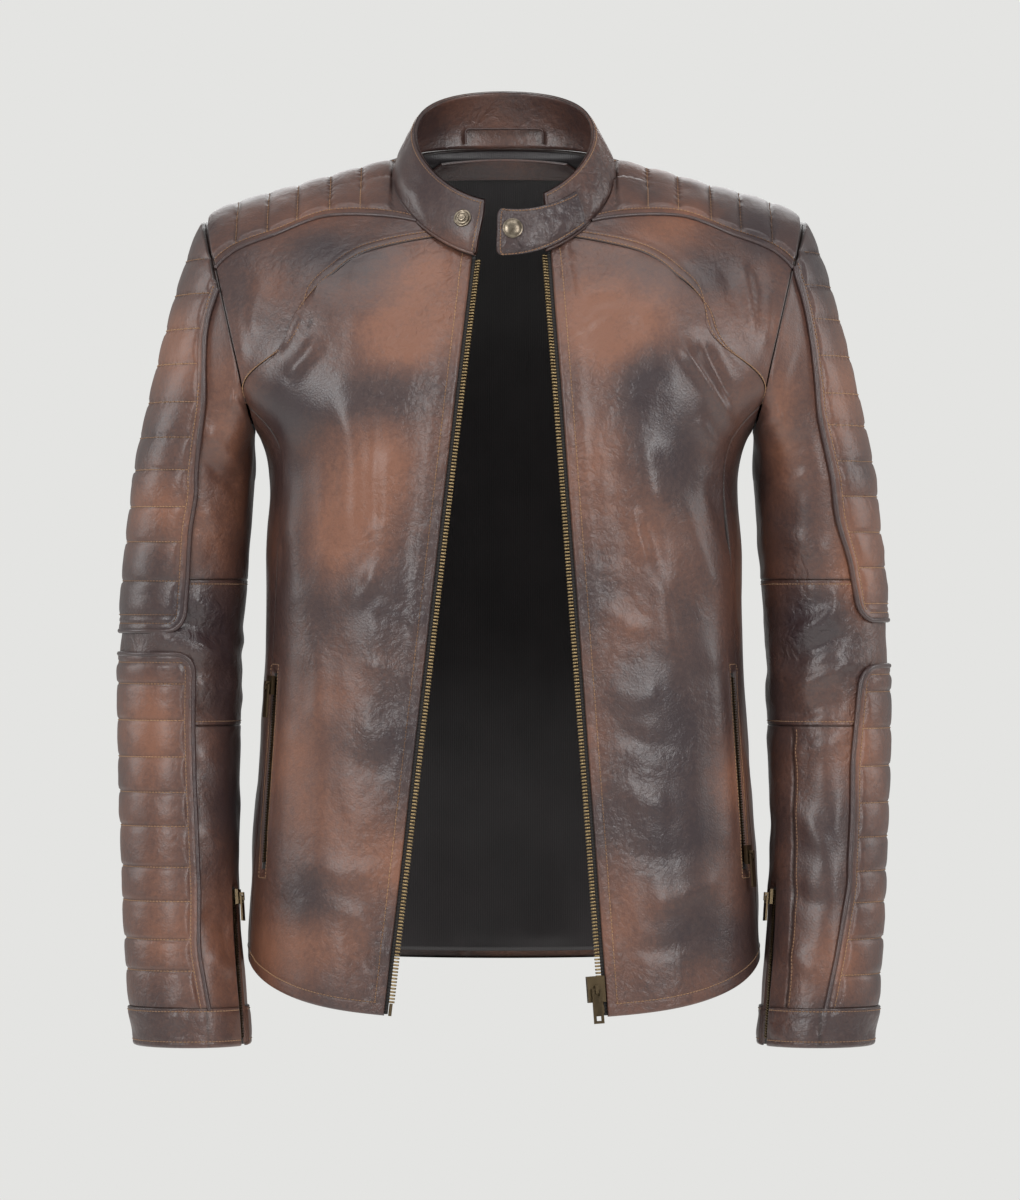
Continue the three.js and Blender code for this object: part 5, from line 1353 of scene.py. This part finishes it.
for side in ("left", "right"):
    m = np.array([1 if side == "left" else -1, 1, 1])
    blends[side] = {
        "upper": ("jacket_body", f"sleeve_{side}", *(tuple(np.array(spot) * m) for spot in at_shoulder)),
        "elbow": (f"sleeve_{side}", f"forearm_{side}", (0.24 * m[0], -0.014, -0.342),
                  (0.24 * m[0], -0.014, -0.402)),
        "forearm": f"forearm_{side}",
    }


def arm_shape(side, p, n, part):
    """The folds and the softness of a sleeve, with the pads' ground kept flat."""
    angle = np.degrees(np.arctan2(n[..., 1], np.abs(n[..., 0]) * np.sign(n[..., 0]) * m[0]))
    ahead, behind = smooth((-n[..., 1] - 0.1) / 0.5), smooth((n[..., 1] - 0.1) / 0.5)
    under_pad = smooth((np.cos(np.radians(angle)) - 0.1) / 0.3)
    z = p[..., 2]
    high = 0
    for line, wide, tall in sleeve_folds[side]:
        high = high + fold(p, line, wide, tall) * ahead
    for line, wide, tall in elbow_back_folds:
        high = high + fold(p * m, line, wide, tall) * behind
    elbow_share = np.exp(-(((z + 372) / 46) ** 2))
    high = high + 0.9 * ripple(p, (16, 18, 54), 91) + 0.5 * ripple(p, (10, 12, 24),
        92) + elbow_share * 1.3 * ripple(p, (34, 34, 11), 93) * (1 - 0.6 * under_pad)
    high = high + 0.7 * ripple(p, (22, 22, 16), 94) * smooth((z + 600) / 60)
    pad_band = smooth((np.abs(z + 363) - 14) / 8)
    return mix(high, np.minimum(high, 0) * 0.3 - 0.3, under_pad * pad_band)


sleeve_grids = {}
for side in ("left", "right"):
    m = np.array([1 if side == "left" else -1, 1, 1])
    for part, low_name, top_name in sleeve_parts:
        low = ring_of(arm_seam[low_name] + (1 if part == "forearm" else 0))
        top = 5.999 if top_name is None else ring_of(arm_seam[top_name])
        long = (top - low) * 100 if top < 5.5 else (5 - low) * 100 + 170
        rows = mix(low, top, stops(long, 2.3))
        g = on_sleeve(np.broadcast_to(columns, (len(rows), len(columns))),
                      np.repeat(rows[:, None], len(columns), 1))
        if side == "right":
            g = mirrored(g)
        p = g["p"]
        ends = np.minimum(g["low"], g["top"])
        inside = smooth((ends - 1) / 9)
        at_armhole = g["top"] < g["low"] if part == "upper" else np.zeros(ends.shape, bool)
        high = arm_shape(side, p, g["n"], part) * inside + rounded(ends, np.where(at_armhole, 1.5, 0.8),
            1.9) + stitched(ends, 3.2, 0.35, 0.8) * (part == "elbow")
        # Painted shade: each sleeve piece is darkened at its seams, darkest at the armhole.
        facts = {"crumple": 0.25 + 0.5 * np.exp(-(((p[..., 2] + 372) / 50) ** 2)),
                 "dark": np.where(at_armhole, 1.0, 0.6) * (1 - smooth(ends / 2.0))}
        if part == "forearm":
            # The cuff's zip opens a slot in the sleeve, up from its end.
            away = np.abs(((columns - cuff_zip_angle + 180) % 360) - 180) * math.radians(1) * 45
            slot_top = np.maximum(0, p[..., 2] + 545)
            near = np.hypot(away[None], slot_top)
            high = high * smooth((near - 4) / 12) - 2.6 * (1 - smooth((near - 3.4) / 1.4))
            high = high + 0.5 * np.exp(-(((near - 5.8) / 1.5) ** 2))
            # The inner seam runs down the forearm beside the front, pressed flat and stitched.
            seam_angle = -128
            seam_away = np.abs(((columns - seam_angle + 180) % 360) - 180) * math.radians(1) * 46
            high = high - (1.1 if side == "left" else 0) * np.exp(-((seam_away / 0.9) ** 2))[None] * inside
            # Painted shade in the groove of the pressed inner seam.
            if side == "left":
                facts["dark"] = np.maximum(facts["dark"], 0.8 * (1 - smooth(seam_away / 1.6))[None])
        piece = skin(f"sleeve_{part}_{side}", g, high, waxed_leather, blends[side][part], "brown_leather",
                     wrap=True, **facts)
        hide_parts(f"sleeve_{part}_{side}")
        sleeve_grids[side, part] = g, high
        if part == "elbow":
            for far in ("low", "top"):
                sew(blends[side]["elbow"], line_at(g, high, far, 3.2))
        if part == "forearm" and side == "left":
            k = int(np.argmin(np.abs(columns - seam_angle - 4)))
            raised = np.concatenate([p[:, k] + g["n"][:, k] * high[:, k, None], g["n"][:, k]], -1)
            sew(f"forearm_{side}", raised, skip=(30, 4))

# ---- The quilted arm pads ----
# Leather over foam again, in ribs across the arm. The pads' edges are piped, with a row of stitches inside
# the piping, and the upper pad ends in a flat band that is stitched down twice.
for side in ("left", "right"):
    m = np.array([1 if side == "left" else -1, 1, 1])
    for part, node_name in (("upper", "upper_arm_pad"), ("fore", "forearm_pad")):
        spots = np.array([arm_spot(x, z) for x, z in pad_front[side][part]])
        if part == "upper":
            spots = spots[::-1]  # from its foot up
            spots = np.concatenate([spots, [[spots[-1][0] + 4, 5.99]]])
        low, top = spots[0][1], spots[-1][1]
        long = (top - low) * 100 if top < 5.5 else (5 - low) * 100 + 150
        rows = mix(low, top, stops(long, 1.9, close=(0, 0.5, 1.1, 1.9, 2.9, 4, 5.2, 6.2, 7, 8, 9.2)))
        front = np.interp(rows, spots[:, 1], spots[:, 0])
        kernel = np.ones(9) / 9
        front = np.convolve(np.pad(front, 4, mode="edge"), kernel, mode="valid")
        back = np.where(rows > head_ring, mix(80, 58, smooth(rows - head_ring)), 80)
        z_rows = np.where(rows > head_ring, 0, head_end + (rows - head_ring) * 100)
        corner_at = z_rows - (z_rows[0] if part == "upper" else 0) if part == "upper" else z_rows[-1] - z_rows
        into = np.clip(pad_corner - corner_at, 0, pad_corner)
        arc = pad_corner - np.sqrt(np.clip(pad_corner**2 - into**2, 0, None))
        if part == "upper":
            arc = np.where(rows > head_ring, 0, arc)
        bend_mm = 50 * math.radians(1)  # millimetres to a degree round the arm
        front, back = front + arc / bend_mm, back - arc / bend_mm
        u = stops(125, 1.9, close=(0, 0.5, 1.1, 1.9, 2.9, 4, 5.2, 6.2, 7, 8, 9.2))
        g = on_sleeve(front[:, None] + (back - front)[:, None] * u[None], np.repeat(rows[:, None], len(u), 1))
        if side == "right":
            g = mirrored(g)
        p = g["p"]
        free = [p[:, 0], p[:, -1], p[0] if part == "upper" else p[-1]]
        rim = np.concatenate(free)[::2]
        edge = np.sqrt(np.min(((p.reshape(-1, 1, 3) - rim[None]) ** 2).sum(-1), 1)).reshape(p.shape[:2])
        sewn_end = g["top"] if part == "upper" else g["low"]
        lines = sorted(quilt_lines[side][part])
        ends = sorted([float(p[..., 2].min()) - 0.5, float(p[..., 2].max()) + 0.5] + lines)
        z = p[..., 2]
        flat_band = smooth((z - lines[0]) / 3) if part == "upper" else np.ones(z.shape)
        ribs = smooth((edge - 6.6) / 3.4) * flat_band
        high = 0.9 + mix(1.5, 0.9 + plump(z, ends, 1.7, 0.9), ribs) + rounded(edge, 2.0,
            2.6) + rounded(sewn_end, 1.6, 2.4)
        high = high + stitched(edge, 6.0, 0.8, 0.9) + puckers(p, edge, 4.0, 1.8, 0.35, 4.6, 101) + puckers(p,
            edge, 8.5, 2.4, 0.3, 4.8, 102)
        high = high + ribs * (0.3 * ripple(p, (9, 11, 7), 103) + 0.35 * ripple(p, (18, 22, 40), 104))
        if part == "upper":
            high = high + stitched(np.abs(z - lines[0] + 1.5), 0, 0.6, 0.9) * smooth((edge - 5) / 2)
        near = np.min(np.abs(z[..., None] - np.array(lines)), -1)
        # Painted shade: the pad is darkened at its edges and in the grooves between its ribs.
        seam = np.maximum(1 - smooth(np.minimum(edge, sewn_end) / 2), 0.35 * (1 - smooth(near / 1.2)) * ribs)
        where = blends[side]["upper"] if part == "upper" else blends[side]["elbow"]
        pad = skin(f"{node_name}_{side}", g, high, waxed_leather, where, "dark_leather", crumple=0.3,
                   dark=seam)
        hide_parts(f"{node_name}_{side}")
        turned_g = {**g, "p": p.transpose(1, 0, 2), "n": g["n"].transpose(1, 0, 2)}
        sewn_channels(where, turned_g, high.T, 2, [-v for v in lines], inset=(7, 7))
        # The inside row follows the outline at 6 mm; the piping lies round the outline itself.
        for column in (0, -1):
            k = int(np.argmin(np.abs(g["left" if column == 0 else "right"][len(rows) // 2] - 6.0)))
            inner = p[:, k] + g["n"][:, k] * high[:, k, None]
            ok = edge[:, k] > 4.5
            sew(where, np.concatenate([inner, g["n"][:, k]], -1)[ok], skip=(1, 4))
        j = int(np.argmin(np.abs(g["low" if part == "upper" else "top"][:, len(u) // 2] - 6.0)))
        inner = p[j] + g["n"][j] * high[j][:, None]
        ok = edge[j] > 4.5
        sew(where, np.concatenate([inner, g["n"][j]], -1)[ok], skip=(1, 1))
        outline = [np.concatenate([p[::-1, 0], g["n"][::-1, 0]], -1), np.concatenate([p[0], g["n"][0]], -1),
                   np.concatenate([p[:, -1], g["n"][:, -1]], -1)]
        if part == "fore":
            outline = [np.concatenate([p[:, 0], g["n"][:, 0]], -1), np.concatenate([p[-1], g["n"][-1]], -1),
                       np.concatenate([p[::-1, -1], g["n"][::-1, -1]], -1)]
        line = stepped(np.concatenate(outline), 1.6)
        kernel = np.ones(5) / 5
        for k in range(6):
            line[2:-2, k] = np.convolve(line[:, k], kernel, mode="valid")
        welt(f"{node_name}_{side}", line, 1.9, 1.6, where)

# ---- The cuffs ----
# The sleeve's end is turned up 28 mm, which leaves a leather band with a seam in front. It is stitched down
# round its upper edge and is open beside the cuff's zip.
for side in ("left", "right"):
    m = np.array([1 if side == "left" else -1, 1, 1])
    u = stops(250, 2.0)
    v = stops(28, 1.6, close=(0, 0.5, 1.1, 1.9, 2.9, 4))
    angle = mix(cuff_zip_angle + 7.5, cuff_zip_angle + 352.5, u)
    g = on_sleeve(np.broadcast_to(angle, (len(v), len(u))),
                  np.repeat(mix(ring_of(-660), ring_of(-631), v)[:, None], len(u), 1))
    if side == "right":
        g = mirrored(g)
    p = g["p"]
    edge = np.minimum(np.minimum(g["left"], g["right"]), np.minimum(g["low"], g["top"]))
    seam_angle = -89 if side == "left" else -110
    over_pad = 2.4 * smooth((np.cos(np.radians(angle)) + 0.05) / 0.2)[None] * smooth((p[..., 2] + 652) / 18)
    seam_away = np.abs(angle - seam_angle) * math.radians(1) * 45
    high = 2.1 + over_pad + rounded(np.minimum(np.minimum(g["left"], g["right"]), g["low"]), 2.2,
                                    2.8) + rounded(g["top"], 1.0, 1.4)
    high = high + smooth((edge - 3) / 5) * (0.6 * ripple(p, (13, 13, 15), 111) + 0.35
                                            * ripple(p, (6, 6, 10), 112))
    high = high - 1.0 * np.exp(-((seam_away / 0.9) ** 2))[None] + stitched(g["top"], 2.6, 0.45,
        0.8) + stitched(g["low"], 4.5, 0.4, 0.8)
    # Painted shade: the band is darkened at its top edge and in its front seam.
    dark = np.maximum(0.8 * (1 - smooth(g["top"] / 1.6)), 0.8 * (1 - smooth(seam_away / 1.6))[None])
    band = skin(f"cuff_band_{side}", g, high, waxed_leather, f"forearm_{side}", "dark_leather", deep=1.6,
                crumple=0.4, dark=dark, shade=-0.08)
    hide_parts(f"cuff_band_{side}")
    for far, at in (("top", 2.6), ("low", 4.5)):
        sew(f"forearm_{side}", line_at(g, high, far, at), skip=(3, 3))
    top, foot = sleeve(cuff_zip_angle, ring_of(-544)), sleeve(cuff_zip_angle, ring_of(-658))
    long = float(np.linalg.norm(foot - top))
    down = (foot - top) / long
    out = np.array([math.cos(math.radians(cuff_zip_angle)) * 98, math.sin(math.radians(cuff_zip_angle)) * 84,
                    0])
    out -= down * (out @ down)
    out /= np.linalg.norm(out)
    tape, rows = let_in_zip(f"cuff_{side}", top, down, out, long - 1, 1.1, f"forearm_{side}", side == "right")
    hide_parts(f"cuff_zip_{side}")

    # The sleeve's satin lining, in two lengths that meet above the elbow.
    for part, z_low, z_top in (("upper", -342, None), ("fore", -652, -340)):
        low, top_ring = ring_of(z_low), 5.94 if z_top is None else ring_of(z_top)
        rows_at = np.linspace(low, top_ring, 60)
        around = np.arange(-180, 180, 4.0)
        g = on_sleeve(np.broadcast_to(around, (60, 90)), np.repeat(rows_at[:, None], 90, 1))
        if side == "right":
            g = mirrored(g)
        high = -4.0 - 0.7 * (1 + ripple(g["p"], (12, 14, 40), 121)) * smooth(np.minimum(g["low"],
            g["top"]) / 12)
        where = blends[side]["upper"] if part == "upper" else blends[side]["elbow"]
        sleeve_lining = skin(f"sleeve_lining_{part}_{side}", g, high, satin_lining, where, "satin_lining",
                             deep=-0.5, wrap=True, faces_in=True)
        if part == "upper":
            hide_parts(f"sleeve_lining_{side}")

# ---- The stitching ----
# Bonded polyester thread, 0.4 mm thick, drawn a little thicker so that it shows. Each stitch dips into the
# leather at both ends. The thread is tan, darkened where wax was rubbed over it.
thread, t = new_material("bonded_polyester_thread")
place = node(t, "ShaderNodeTexCoord").outputs["Object"]
rub_share = node(t, "ShaderNodeAttribute", attribute_name="rub").outputs["Fac"]
fibre = node(t, "ShaderNodeTexNoise", {"Vector": place, "Scale": 900, "Detail": 2}).outputs["Fac"]
fibre = node(t, "ShaderNodeMath", {0: fibre, 1: 0.35, 2: rub_share}, operation="MULTIPLY_ADD",
             use_clamp=True).outputs[0]
tan = node(t, "ShaderNodeValToRGB", {0: fibre}, stops=[(0.1, "#4a3226"), (0.95, "#a07a58")]).outputs[0]
spun = node(t, "ShaderNodeBsdfPrincipled", {"Base Color": tan, "Roughness": 0.6, "Sheen Weight": 0.1})
node(t, "ShaderNodeOutputMaterial", {"Surface": spun.outputs[0]})
for where, rows in threads.items():
    points, faces, total = [], [], 0
    for first, middle, last, size in rows:
        count = min(len(first), len(middle), len(last))
        a, m, b = first[:count], middle[:count], last[:count]
        n = m[:, 3:] / np.linalg.norm(m[:, 3:], axis=1, keepdims=True)
        t_ = b[:, :3] - a[:, :3]
        t_ /= np.linalg.norm(t_, axis=1, keepdims=True) + 1e-9
        s = np.cross(t_, n)
        at = [(a[:, :3] * 0.88 + m[:, :3] * 0.12, -0.25, 0.6), (a[:, :3] * 0.45 + m[:, :3] * 0.55, 0.22, 1.0),
              (b[:, :3] * 0.45 + m[:, :3] * 0.55, 0.22, 1.0), (b[:, :3] * 0.88 + m[:, :3] * 0.12, -0.25, 0.6)]
        ring = [(np.cos(w), np.sin(w)) for w in np.linspace(0, 2 * np.pi, 5, endpoint=False)]
        made = np.stack([np.stack([c + n * (rise + size * r * v) + s * (size * r * u) for u, v in ring], 1)
                         for c, rise, r in at], 1)
        points.append(made.reshape(-1, 3))
        one = lattice(4, 5, True)
        faces.append((total + np.arange(count)[:, None, None] * 20 + one[None]).reshape(-1, 4))
        total += count * 20
    points = np.concatenate(points)
    name = where if isinstance(where, str) else "_".join(where[:2])
    mesh_piece(f"stitching_{name}", points, np.concatenate(faces), {"rub": rub(points) * 0.9}, thread, where)

# ---- Floor, light and camera ----
# The jacket hangs in its worn shape over a plain pale floor, in soft studio light from large boxes. The
# camera stands far off with a long lens, level with the chest.
camera_far, floor_height, floor_radius, floor_sides = 5.0, -1.5, 8, 96
camera_data = bpy.data.cameras.new("camera")
camera_data.lens = 201
camera_data.clip_end = 30
camera = bpy.data.objects.new("camera", camera_data)
camera.location = (0.0044, -camera_far, -0.331)
camera.rotation_euler = (math.radians(90), 0, 0)
bpy.context.scene.collection.objects.link(camera)
bpy.context.scene.camera = camera
bpy.context.scene.view_settings.view_transform = "Standard"
for name, place, turn, size, power in (
    ("softbox_left", (1.5, -2.3, 0.7), (66, 0, 33), (0.8, 1.7), 32),
    ("softbox_right", (-1.5, -2.3, 0.7), (66, 0, -33), (0.8, 1.7), 32),
    ("softbox_top", (0, -0.9, 1.9), (25, 0, 0), (1.8, 1.2), 14),
    ("softbox_back", (0, 2.2, 1.0), (-65, 0, 0), (1.8, 1.2), 14),
    ("softbox_side_left", (2.4, 0.4, 0.4), (75, 0, 100), (1.0, 1.6), 14),
    ("softbox_side_right", (-2.4, 0.4, 0.4), (75, 0, -100), (1.0, 1.6), 14),
):
    lamp = bpy.data.lights.new(name, "AREA")
    lamp.shape, lamp.size, lamp.size_y, lamp.energy = "RECTANGLE", *size, power
    lamp_object = bpy.data.objects.new(name, lamp)
    lamp_object.location, lamp_object.rotation_euler = place, [math.radians(a) for a in turn]
    bpy.context.scene.collection.objects.link(lamp_object)
room = bpy.data.worlds.new("room")
room.use_nodes = True
t = room.node_tree
t.nodes.clear()
seen = node(t, "ShaderNodeLightPath").outputs["Is Camera Ray"]
strength = node(t, "ShaderNodeMapRange", {0: seen, 3: 0.42, 4: 1.0}).outputs[0]
air = node(t, "ShaderNodeBackground", {"Color": linear("#e4e4e2"), "Strength": strength})
node(t, "ShaderNodeOutputWorld", {"Surface": air.outputs[0]})
bpy.context.scene.world = room

a = np.linspace(0, 2 * np.pi, floor_sides, endpoint=False)
floor_mesh = bpy.data.meshes.new("floor")
corners = [(floor_radius * math.cos(b), floor_radius * math.sin(b), floor_height) for b in a]
floor_mesh.from_pydata(corners, [], [list(range(floor_sides))])
floor = bpy.data.objects.new("floor", floor_mesh)
bpy.context.scene.collection.objects.link(floor)
painted_floor, t = new_material("matt_painted_floor")
place = node(t, "ShaderNodeTexCoord").outputs["Object"]
roller = node(t, "ShaderNodeTexNoise", {"Vector": place, "Scale": 60, "Detail": 3}).outputs["Fac"]
paint = node(t, "ShaderNodeValToRGB", {0: roller}, stops=[(0.3, "#f2f2f0"), (0.7, "#f6f6f4")]).outputs[0]
matt = node(t, "ShaderNodeBsdfPrincipled",
            {"Base Color": paint, "Roughness": 0.9, "Emission Color": linear("#f2f2f0"),
             "Emission Strength": 0.25})
node(t, "ShaderNodeOutputMaterial", {"Surface": matt.outputs[0]})
floor_mesh.materials.append(painted_floor)
